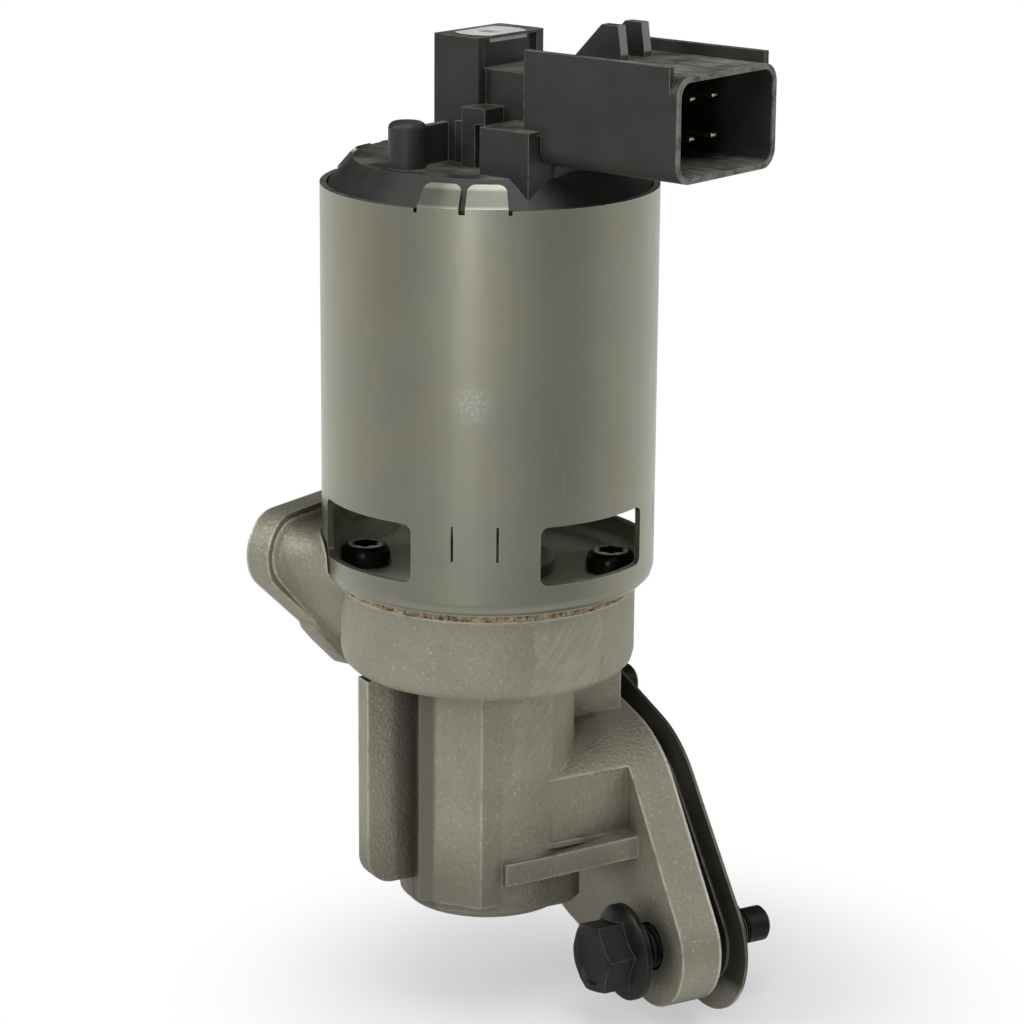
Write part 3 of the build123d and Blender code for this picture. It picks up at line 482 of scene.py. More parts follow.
def reach_along(tree, heading):
    """A heading's unit vector, and how far a point lies along it from the valve axis."""
    way = (math.cos(heading), math.sin(heading), 0)
    return way, dot_product(tree, object_point(tree, shift=(-AXIS_X, 0, 0)), way)


def strokes(tree, turn, stretch, scale):
    """Noise drawn out into strokes along the turned Z axis."""
    coordinates = add_node(tree, "ShaderNodeTexCoord")
    mapping = add_node(
        tree,
        "ShaderNodeMapping",
        {"Vector": coordinates.outputs["Object"], "Rotation": turn, "Scale": (1, 1, stretch)},
        vector_type="TEXTURE",
    )
    return noise_value(tree, mapping.outputs["Vector"], scale, 5.0, 0.7)


def axis_parts(tree):
    """Angle in degrees, height and radius of a point about the valve axis."""
    parts = add_node(tree, "ShaderNodeSeparateXYZ", {0: object_point(tree, shift=(-AXIS_X, 0, 0))})
    angle = maths(tree, "ARCTAN2", parts.outputs["Y"], parts.outputs["X"])
    degrees = times(tree, angle, 180 / math.pi)
    flat = add_node(tree, "ShaderNodeCombineXYZ", {0: parts.outputs["X"], 1: parts.outputs["Y"]})
    radius = add_node(tree, "ShaderNodeVectorMath", {0: flat.outputs[0]}, operation="LENGTH")
    return degrees, parts.outputs["Z"], radius.outputs["Value"]


def between(tree, value, low, high, soft):
    """One inside a range, falling off softly at its two ends."""
    rise = remap(tree, value, low - soft, low + soft)
    fall = remap(tree, value, high + soft, high - soft)
    return times(tree, rise, fall)


# Mesh helpers


def new_piece(name, bm, body, materials, replaced=()):
    """Turns a bmesh into a piece that rides on a body and may stand for CAD nodes."""
    mesh = bpy.data.meshes.new(name)
    bm.normal_update()
    bm.to_mesh(mesh)
    bm.free()
    piece = bpy.data.objects.new(name, mesh)
    bpy.context.scene.collection.objects.link(piece)
    for material in materials:
        mesh.materials.append(material)
    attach(piece, body)
    if replaced:
        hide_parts(*replaced)
    return piece


def smooth_by_angle(bm, angle=EDGE_ANGLE):
    """Smooth faces with sharp edges where the surface turns."""
    for face in bm.faces:
        face.smooth = True
    for edge in bm.edges:
        edge.smooth = len(edge.link_faces) == 2 and edge.calc_face_angle(0.0) < angle


def copy_of_node(node):
    """A merged copy of a CAD node's mesh, its flat regions joined up."""
    bm = bmesh.new()
    bm.from_mesh(frame["nodes"][node].data)
    for layer in list(bm.loops.layers.uv):
        bm.loops.layers.uv.remove(layer)
    bmesh.ops.remove_doubles(bm, verts=bm.verts, dist=0.002 * MM)
    bmesh.ops.dissolve_degenerate(bm, dist=0.002 * MM, edges=bm.edges)
    bmesh.ops.dissolve_limit(
        bm,
        angle_limit=math.radians(0.6),
        verts=bm.verts,
        edges=bm.edges,
        use_dissolve_boundaries=False,
        delimit={"NORMAL"},
    )
    return bm


def dress(node, name, material, edge_round, segments=2):
    """A piece with the CAD node's shape, its edges rounded, in the node's place."""
    bm = copy_of_node(node)
    smooth_by_angle(bm)
    piece = new_piece(name, bm, frame["nodes"][node]["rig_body"], [material], [node])
    for label in ("custom_normal", "Normal"):
        stored = piece.data.attributes.get(label)
        if stored:
            piece.data.attributes.remove(stored)
    if edge_round > 0:
        bevel = piece.modifiers.new("edge round", "BEVEL")
        bevel.width = edge_round
        bevel.segments = segments
        bevel.limit_method = "ANGLE"
        bevel.angle_limit = EDGE_ANGLE
        bevel.miter_outer = "MITER_ARC"
        bevel.use_clamp_overlap = True
        bevel.harden_normals = False
    weighted = piece.modifiers.new("face weighted normals", "WEIGHTED_NORMAL")
    weighted.keep_sharp = True
    return piece


def paint(node, material):
    """Gives a CAD node that stays its node material."""
    data = frame["nodes"][node].data
    data.materials.clear()
    data.materials.append(material)


def spin_profile(bm, points, steps, turn=math.tau, lift=0.0):
    """Spins a profile of (radius, height) points about the Z axis."""
    verts = [bm.verts.new((radius, 0, height)) for radius, height in points]
    edges = [bm.edges.new(pair) for pair in zip(verts, verts[1:])]
    bmesh.ops.spin(
        bm,
        geom=verts + edges,
        cent=(0, 0, 0),
        axis=(0, 0, 1),
        dvec=(0, 0, lift / steps),
        angle=turn,
        steps=steps,
        use_merge=lift == 0.0,
    )


def ring_loop(bm, radii, heights):
    """A closed loop of edges round the Z axis, one vertex for each radius and height."""
    count = len(radii)
    verts = []
    for index, (radius, height) in enumerate(zip(radii, heights)):
        turn = math.tau * index / count
        verts.append(bm.verts.new((radius * math.cos(turn), radius * math.sin(turn), height)))
    return [bm.edges.new((verts[i], verts[(i + 1) % count])) for i in range(count)]


def hull_radii(discs, centre, swell):
    """Distances from a centre to the tight outline round some discs, in equal steps of angle."""
    turns = [math.tau * i / RING_STEPS for i in range(RING_STEPS)]
    reach = []
    for turn in turns:
        sides = [(x - centre[0]) * math.cos(turn) + (y - centre[1]) * math.sin(turn) + r for x, y, r in discs]
        reach.append(max(sides) + swell)
    radii = []
    for turn in turns:
        cuts = [r / math.cos(turn - other) for r, other in zip(reach, turns) if math.cos(turn - other) > 0.2]
        radii.append(min(cuts) * MM)
    return radii


def bridge(bm, loops):
    """Faces between each loop and the next."""
    for first, second in zip(loops, loops[1:]):
        bmesh.ops.bridge_loops(bm, edges=first + second)


def close_up(bm, dist=0.001 * MM):
    """Merges doubles, closes seams and turns the faces outwards."""
    bmesh.ops.remove_doubles(bm, verts=bm.verts, dist=dist)
    open_edges = [e for e in bm.edges if len(e.link_faces) == 1]
    if open_edges:
        bmesh.ops.holes_fill(bm, edges=open_edges, sides=0)
    bmesh.ops.recalc_face_normals(bm, faces=bm.faces)


def stamp(bm, source, place):
    """Adds a moved copy of a finished bmesh."""
    mesh = bpy.data.meshes.new("stamp")
    source.to_mesh(mesh)
    mesh.transform(place)
    bm.from_mesh(mesh)
    bpy.data.meshes.remove(mesh)


def add_part(bm, part):
    """Adds a finished bmesh and frees it."""
    stamp(bm, part, Matrix.Identity(4))
    part.free()


def spun(points, steps):
    """A closed form of revolution about the Z axis."""
    form = bmesh.new()
    spin_profile(form, points, steps)
    close_up(form)
    return form


def hex_head(bm, flats, low, high, crown, dish_radius, dish_depth):
    """A hexagon head with a turned crown and a shallow dish in its face."""
    turns = [360 * i / RING_STEPS for i in range(RING_STEPS)]
    hexagon = [flats / 2 / math.cos(math.radians((turn + 30) % 60 - 30)) for turn in turns]
    drop = [max(0.0, radius - crown) * 0.55 for radius in hexagon]
    flat = [high] * RING_STEPS
    loops = [
        ring_loop(bm, hexagon, [low] * RING_STEPS),
        ring_loop(bm, hexagon, [high - d for d in drop]),
        ring_loop(bm, [min(radius, crown) - 0.25 * MM for radius in hexagon], flat),
        ring_loop(bm, [dish_radius] * RING_STEPS, flat),
        ring_loop(bm, [dish_radius - 0.5 * MM] * RING_STEPS, [high - dish_depth] * RING_STEPS),
    ]
    bridge(bm, loops)
    close_up(bm)


def thread(bm, crest, pitch, low, turns, steps):
    """A helical thread about the Z axis, closed at both ends."""
    root = crest - 0.6 * pitch
    rise = [(root, 0.0), (root, 0.10), (crest, 0.44), (crest, 0.56), (root, 0.90), (root, 1.0)]
    points = [(radius, low + height * pitch) for radius, height in rise]
    spin_profile(bm, points, steps * turns, math.tau * turns, pitch * turns)
    close_up(bm, 0.004 * MM)


# Materials of the object


def cast_aluminium():
    """Blasted casting with machined faces and a rough ground strip."""
    if "cast aluminium" in bpy.data.materials:
        return bpy.data.materials["cast aluminium"]
    material = finish(
        "cast aluminium",
        bpy.context.scene.egr_colours.cast,
        0.55,
        (0.46, 0.62),
        wear_colour=(0.72, 0.69, 0.59),
        wear=(0.9 * MM, 420.0, 1.0),
        grain=(1500.0, 45.0),
        bump=(0.22 * MM, 0.8),
        tone=0.12,
    )
    tree = material.node_tree
    speckle = object_noise(tree, 1300.0, 3.0, 0.7)
    overlay(material, remap(tree, speckle, 0.59, 0.70, 0.0, 0.7), (0.66, 0.64, 0.55))
    overlay(material, remap(tree, speckle, 0.42, 0.28, 0.0, 0.45), (0.20, 0.185, 0.14))

    # Strip beside the gate, ground by hand in slanting strokes
    angle, height, radius = axis_parts(tree)
    stroke = strokes(tree, (0.0, math.radians(38), 0.0), 9.0, 1100.0)
    ragged = times(tree, object_noise(tree, 260.0), 12.0)
    strip = patch(tree, maths(tree, "ADD", angle, ragged), height, GROUND_STRIP)
    scratch = remap(tree, stroke, 0.35, 0.68, 0.15, 0.75)
    overlay(material, times(tree, strip, scratch), (0.54, 0.52, 0.43))
    emboss(material, times(tree, strip, stroke), 0.25 * MM, 0.7)

    # Machined faces of the two flanges, bright to their edges
    reach = reach_along(tree, OUTLET_HEADING)[1]
    side_face = remap(tree, reach, OUTLET_FACE - 0.5 * MM, OUTLET_FACE - 0.2 * MM)
    from_face = dot_product(tree, object_point(tree), (1, 0, 0))
    machined = maths(tree, "MAXIMUM", remap(tree, from_face, -0.7 * MM, -0.3 * MM), side_face)
    overlay(material, machined, (0.70, 0.68, 0.60))
    roughen(material, machined, 0.3)

    # Painted shade towards the barrel's foot, and a painted shadow on the flank behind the pad
    low = times(tree, remap(tree, height, 12 * MM, -6 * MM), remap(tree, from_face, -9 * MM, -16 * MM))
    pad_shadow = times(
        tree,
        between(tree, angle, -178.0, -152.0, 2.0),
        remap(tree, height, 36 * MM, 33 * MM),
        remap(tree, radius, 22 * MM, 19 * MM),
    )
    painted_shade = maths(tree, "MAXIMUM", times(tree, low, 0.55), times(tree, pad_shadow, 0.75))
    overlay(material, painted_shade, (0.12, 0.11, 0.085))
    # Painted shade in the corners, darker where ambient occlusion is high
    corner_shade = use_group(tree, painted_corner_shade, {"Reach": 7 * MM, "Amount": 0.8})
    overlay(material, corner_shade.outputs["Mask"], (0.07, 0.062, 0.045))
    return material


def can_steel():
    """Plated sheet steel, faintly streaked and stained."""
    material = finish(
        "can steel",
        bpy.context.scene.egr_colours.can,
        0.95,
        (0.27, 0.37),
        wear_colour=(0.62, 0.62, 0.55),
        wear=(0.25 * MM, 420.0, 0.8),
        grain=(900.0, 38.0),
        bump=(0.02 * MM, 0.22),
        tone=0.06,
    )
    tree = material.node_tree
    cloud = object_noise(tree, 22.0, 5.0, 0.62, 0.6)
    overlay(material, remap(tree, cloud, 0.42, 0.66, 0.0, 0.55), (0.30, 0.315, 0.265))
    fine = noise_value(tree, object_point(tree, scale=(1, 1, 0.12)), 420.0, 5.0, 0.7)
    overlay(material, remap(tree, fine, 0.56, 0.78, 0.0, 0.35), (0.42, 0.42, 0.36))
    roughen(material, remap(tree, fine, 0.35, 0.70, 0.0, 0.4), 0.44)

    # Lighter flecked patch on the near side, and a rust-tinged stain near the rim
    angle, height, radius = axis_parts(tree)
    spot = patch(tree, angle, height, PALE_NEAR_PATCH)
    flecks = remap(tree, object_noise(tree, 1500.0, 3.0), 0.4, 0.62, 0.2, 0.8)
    overlay(material, times(tree, spot, flecks), (0.48, 0.48, 0.42))
    stain = patch(tree, angle, height, RIM_STAIN)
    overlay(material, times(tree, stain, remap(tree, cloud, 0.35, 0.65, 0.1, 0.6)), (0.36, 0.33, 0.23))

    # Painted shade on the upright parts of the folded tabs, and painted light inside the can, whose floor and
    # walls are made paler, rougher and less metallic
    tab_shade = remap(tree, height, CAN_RIM + 0.2 * MM, CAN_RIM + 0.9 * MM, 0.0, 0.9)
    fold = remap(tree, height, CAN_RIM + 2.9 * MM, CAN_RIM + 3.5 * MM, 1.0, 0.2)
    overlay(material, times(tree, tab_shade, fold), (0.12, 0.12, 0.10))
    painted_inside_light = times(tree, remap(tree, radius, 29.0 * MM, 28.4 * MM), remap(tree, height, 58 * MM, 54 * MM))
    overlay(material, painted_inside_light, (0.66, 0.65, 0.56))
    roughen(material, painted_inside_light, 0.55)
    unmetal(material, painted_inside_light, 0.45)

    # Pale edge along the rim's top, partly worn bare and partly a painted highlight on the faces that look up
    level = facing_up(tree, 0.55, 0.85)
    rim = times(tree, level, between(tree, height, CAN_RIM - 0.35 * MM, CAN_RIM + 0.35 * MM, 0.1 * MM))
    broken = remap(tree, object_noise(tree, 500.0), 0.35, 0.55, 0.25, 1.0)
    overlay(material, times(tree, rim, broken), (0.80, 0.79, 0.70))
    # Painted shade in the corners of the can
    corner_shade = use_group(tree, painted_corner_shade, {"Reach": 1.6 * MM, "Amount": 0.5})
    overlay(material, corner_shade.outputs["Mask"], (0.08, 0.08, 0.065))
    return material


def black_plastic():
    """Satin black moulding with pale worn edges, and settled dust that also paints light on the tops."""
    material = finish(
        "black plastic",
        bpy.context.scene.egr_colours.plastic,
        0.0,
        (0.40, 0.55),
        wear_colour=(0.24, 0.235, 0.21),
        wear=(0.28 * MM, 650.0, 0.85),
        grain=(3200.0, 110.0),
        bump=(0.04 * MM, 0.35),
        tone=0.18,
        dust_and_light=((0.26, 0.255, 0.22), 130.0, 0.8),
    )
    tree = material.node_tree
    scuff = strokes(tree, (0.0, math.radians(90), math.radians(20)), 5.0, 600.0)
    overlay(material, remap(tree, scuff, 0.60, 0.80, 0.0, 0.5), (0.085, 0.08, 0.07))

    # Worn rim of the connector's mouth, a painted highlight on the latch teeth's forward faces, and the
    # scuffed top of the shroud
    heading, reach = reach_along(tree, CONNECTOR_HEADING)
    ahead = dot_product(tree, surface_normal(tree), heading)
    height = axis_parts(tree)[1]
    broken = remap(tree, object_noise(tree, 420.0, 5.0, 0.7), 0.35, 0.60, 0.1, 1.0)
    mouth = times(tree, remap(tree, reach, 50.75 * MM, 51.05 * MM), broken)
    overlay(material, mouth, (0.22, 0.215, 0.19))
    # Painted highlight on the faces of the teeth that look along the connector
    teeth_highlight = times(
        tree,
        remap(tree, ahead, 0.75, 0.95),
        remap(tree, height, CAN_RIM + 25.2 * MM, CAN_RIM + 25.8 * MM),
    )
    far = remap(tree, reach, 40 * MM, 36 * MM)
    near = remap(tree, reach, 22 * MM, 25 * MM)
    overlay(material, times(tree, teeth_highlight, far, near), (0.30, 0.31, 0.31))
    scraped = strokes(tree, (math.radians(90), 0.0, math.radians(21)), 7.0, 900.0)
    top = times(tree, facing_up(tree, 0.9, 0.98), remap(tree, reach, 32 * MM, 42 * MM))
    overlay(material, times(tree, top, remap(tree, scraped, 0.42, 0.66, 0.0, 0.9)), (0.36, 0.355, 0.32))
    return material


def bolt_black():
    """Black coated fastener steel."""
    if "bolt black" in bpy.data.materials:
        return bpy.data.materials["bolt black"]
    return finish(
        "bolt black",
        bpy.context.scene.egr_colours.bolt,
        0.6,
        (0.34, 0.50),
        wear_colour=(0.16, 0.15, 0.14),
        wear=(0.3 * MM, 700.0, 0.7),
        grain=(2800.0, 160.0),
        bump=(0.03 * MM, 0.3),
        tone=0.25,
    )


def plain_metal(name, colour, rough=(0.28, 0.42)):
    """Turned or drawn metal of the smaller and inner pieces."""
    return finish(name, colour, 1.0, rough, grain=(1800.0, 90.0), bump=(0.01 * MM, 0.3), tone=0.10)


def plain_moulding(name, colour, rough=(0.45, 0.6)):
    """Plain plastic, rubber or card of the smaller and inner pieces."""
    return finish(name, colour, 0.0, rough, grain=(2600.0, 120.0), bump=(0.02 * MM, 0.3), tone=0.12)


# Operators, one for each piece or group of like pieces


class EGR_OT_cast_body(bpy.types.Operator):
    """Dress the cast valve body"""

    bl_idname = "egr.cast_body"
    bl_label = "Cast body"

    def execute(self, context):
        edge = context.scene.egr_sizes.cast_edge
        dress("valve_body", "cast_body", cast_aluminium(), edge, segments=3)
        return {"FINISHED"}


class EGR_OT_outlet_neck(bpy.types.Operator):
    """Make the side flange's domed neck and lower lug"""

    bl_idname = "egr.outlet_neck"
    bl_label = "Side flange neck"

    def execute(self, context):
        rear = OUTLET_FACE - 5 * MM
        across = OUTLET_HEADING + math.radians(90)
        place = Matrix(
            (
                (math.cos(across), 0, math.cos(OUTLET_HEADING), AXIS_X),
                (math.sin(across), 0, math.sin(OUTLET_HEADING), 0),
                (0, 1, 0, OUTLET_HEIGHT),
                (0, 0, 0, 1),
            )
        )
        bm = bmesh.new()
        for discs, centre, bands in NECK_FORMS:
            form = bmesh.new()
            rings = [(hull_radii(discs, centre, swell), rear + depth * MM) for swell, depth in bands]
            bridge(form, [ring_loop(form, radii, [height] * RING_STEPS) for radii, height in rings])
            bmesh.ops.translate(form, verts=form.verts, vec=(centre[0] * MM, centre[1] * MM, 0))
            close_up(form)
            form.transform(place)
            add_part(bm, form)

        # The neck stays clear of the can, whose wall turns in below foot_top, all in mm
        clear_radius, foot_inset, can_bottom, foot_top, foot_height = 30.3, 3.4, 49.4, 54.6, 3.2
        for vert in bm.verts:
            out = Vector((vert.co.x - AXIS_X, vert.co.y, 0))
            sunk = min(1.0, max(0.0, (foot_top * MM - vert.co.z) / (foot_height * MM)))
            clear = (clear_radius - foot_inset * sunk * sunk) * MM
            if vert.co.z > can_bottom * MM and out.length < clear:
                vert.co.x, vert.co.y = AXIS_X + out.normalized().x * clear, out.normalized().y * clear
        bmesh.ops.recalc_face_normals(bm, faces=bm.faces)
        smooth_by_angle(bm, math.radians(50))
        new_piece("outlet_neck", bm, VALVE_BODY_NAME, [cast_aluminium()])
        return {"FINISHED"}


class EGR_OT_can(bpy.types.Operator):
    """Dress the windowed can"""

    bl_idname = "egr.can"
    bl_label = "Solenoid can"

    def execute(self, context):
        edge = context.scene.egr_sizes.steel_edge
        dress("solenoid_can", "can_shell", can_steel(), edge)
        return {"FINISHED"}


class EGR_OT_cap(bpy.types.Operator):
    """Dress the moulded cap, its plug and its sealant"""

    bl_idname = "egr.cap"
    bl_label = "Cap and tower plug"

    def execute(self, context):
        edge = context.scene.egr_sizes.plastic_edge
        dress("cap_housing", "cap_moulding", black_plastic(), edge)
        white = plain_moulding("plug white", (0.80, 0.82, 0.78))
        green = plain_moulding("green sealant", (0.10, 0.22, 0.12), rough=(0.25, 0.4))
        dress("tower_plug", "plug_disc", white, 0.15 * MM)
        dress("plug_sealant", "sealant_drop", green, 0.2 * MM)
        return {"FINISHED"}


class EGR_OT_terminals(bpy.types.Operator):
    """Dress the blade terminals"""

    bl_idname = "egr.terminals"
    bl_label = "Terminals"

    def execute(self, context):
        brass = plain_metal("terminal brass", (0.72, 0.60, 0.36), rough=(0.22, 0.34))
        dress("connector_terminals", "blade_terminals", brass, 0.12 * MM)
        return {"FINISHED"}


class EGR_OT_base_gasket(bpy.types.Operator):
    """Make the ragged fibre gasket under the can"""

    bl_idname = "egr.base_gasket"
    bl_label = "Fibre gasket"

    def execute(self, context):
        fibre = finish(
            "fibre gasket",
            context.scene.egr_colours.fibre,
            0.0,
            (0.75, 0.9),
            wear_colour=(0.62, 0.52, 0.36),
            wear=(0.3 * MM, 900.0, 0.6),
            grain=(1600.0, 900.0),
            bump=(0.2 * MM, 1.0),
            tone=0.6,
        )
        tree = fibre.node_tree
        fleck = object_noise(tree, 1100.0, 4.0, 0.7)
        overlay(fibre, remap(tree, fleck, 0.52, 0.62, 0.0, 0.85), (0.07, 0.045, 0.02))
        piece = dress("base_gasket", "fibre_gasket", fibre, 0.0)
        bm = bmesh.new()
        bm.from_mesh(piece.data)

        def radius(vert):
            return math.hypot(vert.co.x - AXIS_X, vert.co.y)

        rim = 0.98 * max(radius(v) for v in bm.verts)
        outer = [e for e in bm.edges if all(radius(v) > rim for v in e.verts)]
        bmesh.ops.subdivide_edges(bm, edges=outer, cuts=4, use_grid_fill=True)
        for vert in bm.verts:
            reach = radius(vert)
            if reach > rim:
                ragged = noise.noise(vert.co * 900) + 0.6 * noise.noise(vert.co * 2600)
                pull = 1 - (0.25 + 0.35 * ragged) * MM / reach
                vert.co.x = AXIS_X + (vert.co.x - AXIS_X) * pull
                vert.co.y *= pull
        bm.to_mesh(piece.data)
        bm.free()
        return {"FINISHED"}


class EGR_OT_base_screws(bpy.types.Operator):
    """Make the button head screws in the can"""

    bl_idname = "egr.base_screws"
    bl_label = "Base screws"

    def execute(self, context):
        low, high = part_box("base_screws")
        head_height, socket_radius, socket_lobe, shank_radius = 3.8, 2.15 * MM, 0.28 * MM, 2.35
        top = head_height * MM
        bottom = low.z - (high.z - top)
        count = 72
        lobes = [socket_radius + socket_lobe * math.cos(6 * math.tau * i / count) for i in range(count)]
        bands = [(lobes, top - 2.2 * MM), (lobes, top - 0.15 * MM), ([r + 0.15 * MM for r in lobes], top)]

        # Rings of the head from its flat rim to the seat, as radius and drop in mm
        rings = ((3.0, 0), (3.7, 0.25), (4.25, 0.85), (4.5, 1.6), (4.6, 2.5), (4.6, head_height))
        for radius, drop in rings + ((shank_radius, head_height),):
            bands.append(([radius * MM] * count, top - drop * MM))
        bands.append(([shank_radius * MM] * count, bottom))
        screw = bmesh.new()
        bridge(screw, [ring_loop(screw, radii, [height] * count) for radii, height in bands])
        close_up(screw)
        bm = bmesh.new()
        circle, first_heading = 22.3 * MM, -33.4
        for step in range(4):
            turn = math.radians(first_heading + 90 * step)
            spot = (AXIS_X + circle * math.cos(turn), circle * math.sin(turn), high.z - top)
            stamp(bm, screw, Matrix.Translation(spot))
        screw.free()
        smooth_by_angle(bm)
        screw_with_ring_highlight = finish(
            "screw black",
            context.scene.egr_colours.bolt,
            0.7,
            (0.20, 0.34),
            wear_colour=(0.72, 0.70, 0.62),
            wear=(0.4 * MM, 800.0, 1.0),
            grain=(2800.0, 160.0),
            bump=(0.02 * MM, 0.3),
            tone=0.2,
        )
        tree = screw_with_ring_highlight.node_tree
        # A pale metal ring on top of each head, painted brighter as a highlight, near white and less metallic
        upper = remap(tree, axis_parts(tree)[1], high.z - 0.5 * MM, high.z - 0.2 * MM)
        flat = times(tree, facing_up(tree, 0.93, 0.99), upper)
        overlay(screw_with_ring_highlight, flat, (0.90, 0.88, 0.80))
        unmetal(screw_with_ring_highlight, flat, 0.15)
        new_piece("button_screws", bm, VALVE_BODY_NAME, [screw_with_ring_highlight], ["base_screws"])
        return {"FINISHED"}


class EGR_OT_mounting_bolts(bpy.types.Operator):
    """Make the threaded flange bolts"""

    bl_idname = "egr.mounting_bolts"
    bl_label = "Mounting bolts"

    def execute(self, context):
        sizes = context.scene.egr_sizes
        head_height, washer, shank, dog = 8.0 * MM, 1.6 * MM, 25.0 * MM, 4.3 * MM
        crest, flange_radius, dog_radius = 4.0 * MM, 8.95 * MM, 3.3 * MM
        flats, crown, dish_radius, dish_depth = 12.0 * MM, 6.15 * MM, 4.9 * MM, 0.45 * MM
        washer_edge = [
            (crest - 1 * MM, 0.0),
            (flange_radius - 0.25 * MM, 0.0),
            (flange_radius, 0.2 * MM),
            (flange_radius, washer - 0.35 * MM),
            (flange_radius - 0.3 * MM, washer),
            (flange_radius - 0.9 * MM, washer + 0.25 * MM),
            (5.6 * MM, washer + 1.5 * MM),
            (crest - 1 * MM, washer + 1.5 * MM),
        ]
        bolt = spun(washer_edge, 72)
        head = bmesh.new()
        hex_head(head, flats, washer, head_height, crown, dish_radius, dish_depth)
        add_part(bolt, head)
        screw = bmesh.new()
        turns = int((shank - 0.4 * MM) / sizes.thread_pitch)
        thread(screw, crest, sizes.thread_pitch, -shank, turns, sizes.thread_steps)
        add_part(bolt, screw)
        dog_point = [
            (dog_radius - 0.5 * MM, -shank - dog),
            (dog_radius, -shank - dog + 0.5 * MM),
            (dog_radius, -shank - 0.1 * MM),
            (dog_radius - 0.4 * MM, -shank + 0.4 * MM),
        ]
        add_part(bolt, spun(dog_point, 48))
        for node in ("mounting_bolt_lower", "mounting_bolt_upper"):
            low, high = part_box(node)
            seat = Matrix.Translation((low.x + head_height, (low.y + high.y) / 2, (low.z + high.z) / 2))
            turned = Matrix.Rotation(math.radians(-90), 4, "Y") @ Matrix.Rotation(math.radians(12), 4, "Z")
            bm = bmesh.new()
            stamp(bm, bolt, seat @ turned)
            smooth_by_angle(bm)
            name = "flange_bolt_" + node.split("_")[-1]
            new_piece(name, bm, frame["nodes"][node]["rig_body"], [bolt_black()], [node])
        bolt.free()
        return {"FINISHED"}


class EGR_OT_mounting_gasket(bpy.types.Operator):
    """Dress the loose steel gasket"""

    bl_idname = "egr.mounting_gasket"
    bl_label = "Steel gasket"

    def execute(self, context):
        sheet = finish(
            "gasket steel",
            (0.15, 0.14, 0.115),
            0.8,
            (0.35, 0.5),
            wear_colour=(0.55, 0.54, 0.48),
            wear=(0.3 * MM, 300.0, 0.9),
            grain=(1500.0, 40.0),
            bump=(0.02 * MM, 0.3),
            tone=0.2,
        )
        tree = sheet.node_tree
        height = axis_parts(tree)[1]
        # Painted reflection of the pale floor on the gasket's lower part, with a ragged edge
        floor_reflection = maths(tree, "ADD", height, times(tree, object_noise(tree, 160.0), 4 * MM))
        overlay(sheet, remap(tree, floor_reflection, -20 * MM, -24 * MM), (0.62, 0.60, 0.50))
        dress("mounting_gasket", "steel_gasket", sheet, 0.08 * MM)
        return {"FINISHED"}


class EGR_OT_inner_pieces(bpy.types.Operator):
    """Finish the pieces inside the valve"""

    bl_idname = "egr.inner_pieces"
    bl_label = "Inner pieces"

    def execute(self, context):
        ground = plain_metal("ground steel", (0.42, 0.42, 0.41))
        stainless = bpy.data.materials["stainless"]  # the frame's own
        iron = plain_metal("soft iron", (0.26, 0.26, 0.26), rough=(0.35, 0.5))
        plated = plain_metal("plated iron", (0.62, 0.61, 0.55), rough=(0.4, 0.55))
        copper = plain_metal("copper wire", (0.62, 0.26, 0.12), rough=(0.25, 0.4))
        for material, nodes in (
            (ground, ("valve_seat_ring", "stem_guide", "armature_nut")),
            (stainless, ("pintle", "armature_sleeve")),
            (iron, ("upper_pole_piece", "armature")),
            (plated, ("lower_pole_plate",)),
            (copper, ("coil_winding", "coil_leads")),
            (plain_moulding("seal rubber", (0.018, 0.018, 0.018)), ("stem_seal", "cap_seal_ring")),
            (plain_moulding("brown nylon", (0.10, 0.06, 0.035)), ("coil_bobbin",)),
            (plain_moulding("carrier plastic", (0.45, 0.42, 0.34)), ("sensor_plunger", "sensor_wiper")),
            (plain_moulding("track card", (0.02, 0.07, 0.035)), ("sensor_track",)),
        ):
            for node in nodes:
                paint(node, material)

        # The springs keep their nodes' shapes, unrounded, each on a mesh of its own
        for node, name, slot, material in (
            ("return_spring", "valve_spring", "hard_steel", ground),
            ("sensor_spring", "wiper_spring", "stainless", stainless),
        ):
            spring = dress(node, name, material, 0.0)
            spring.modifiers.clear()
            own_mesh(spring)
        return {"FINISHED"}


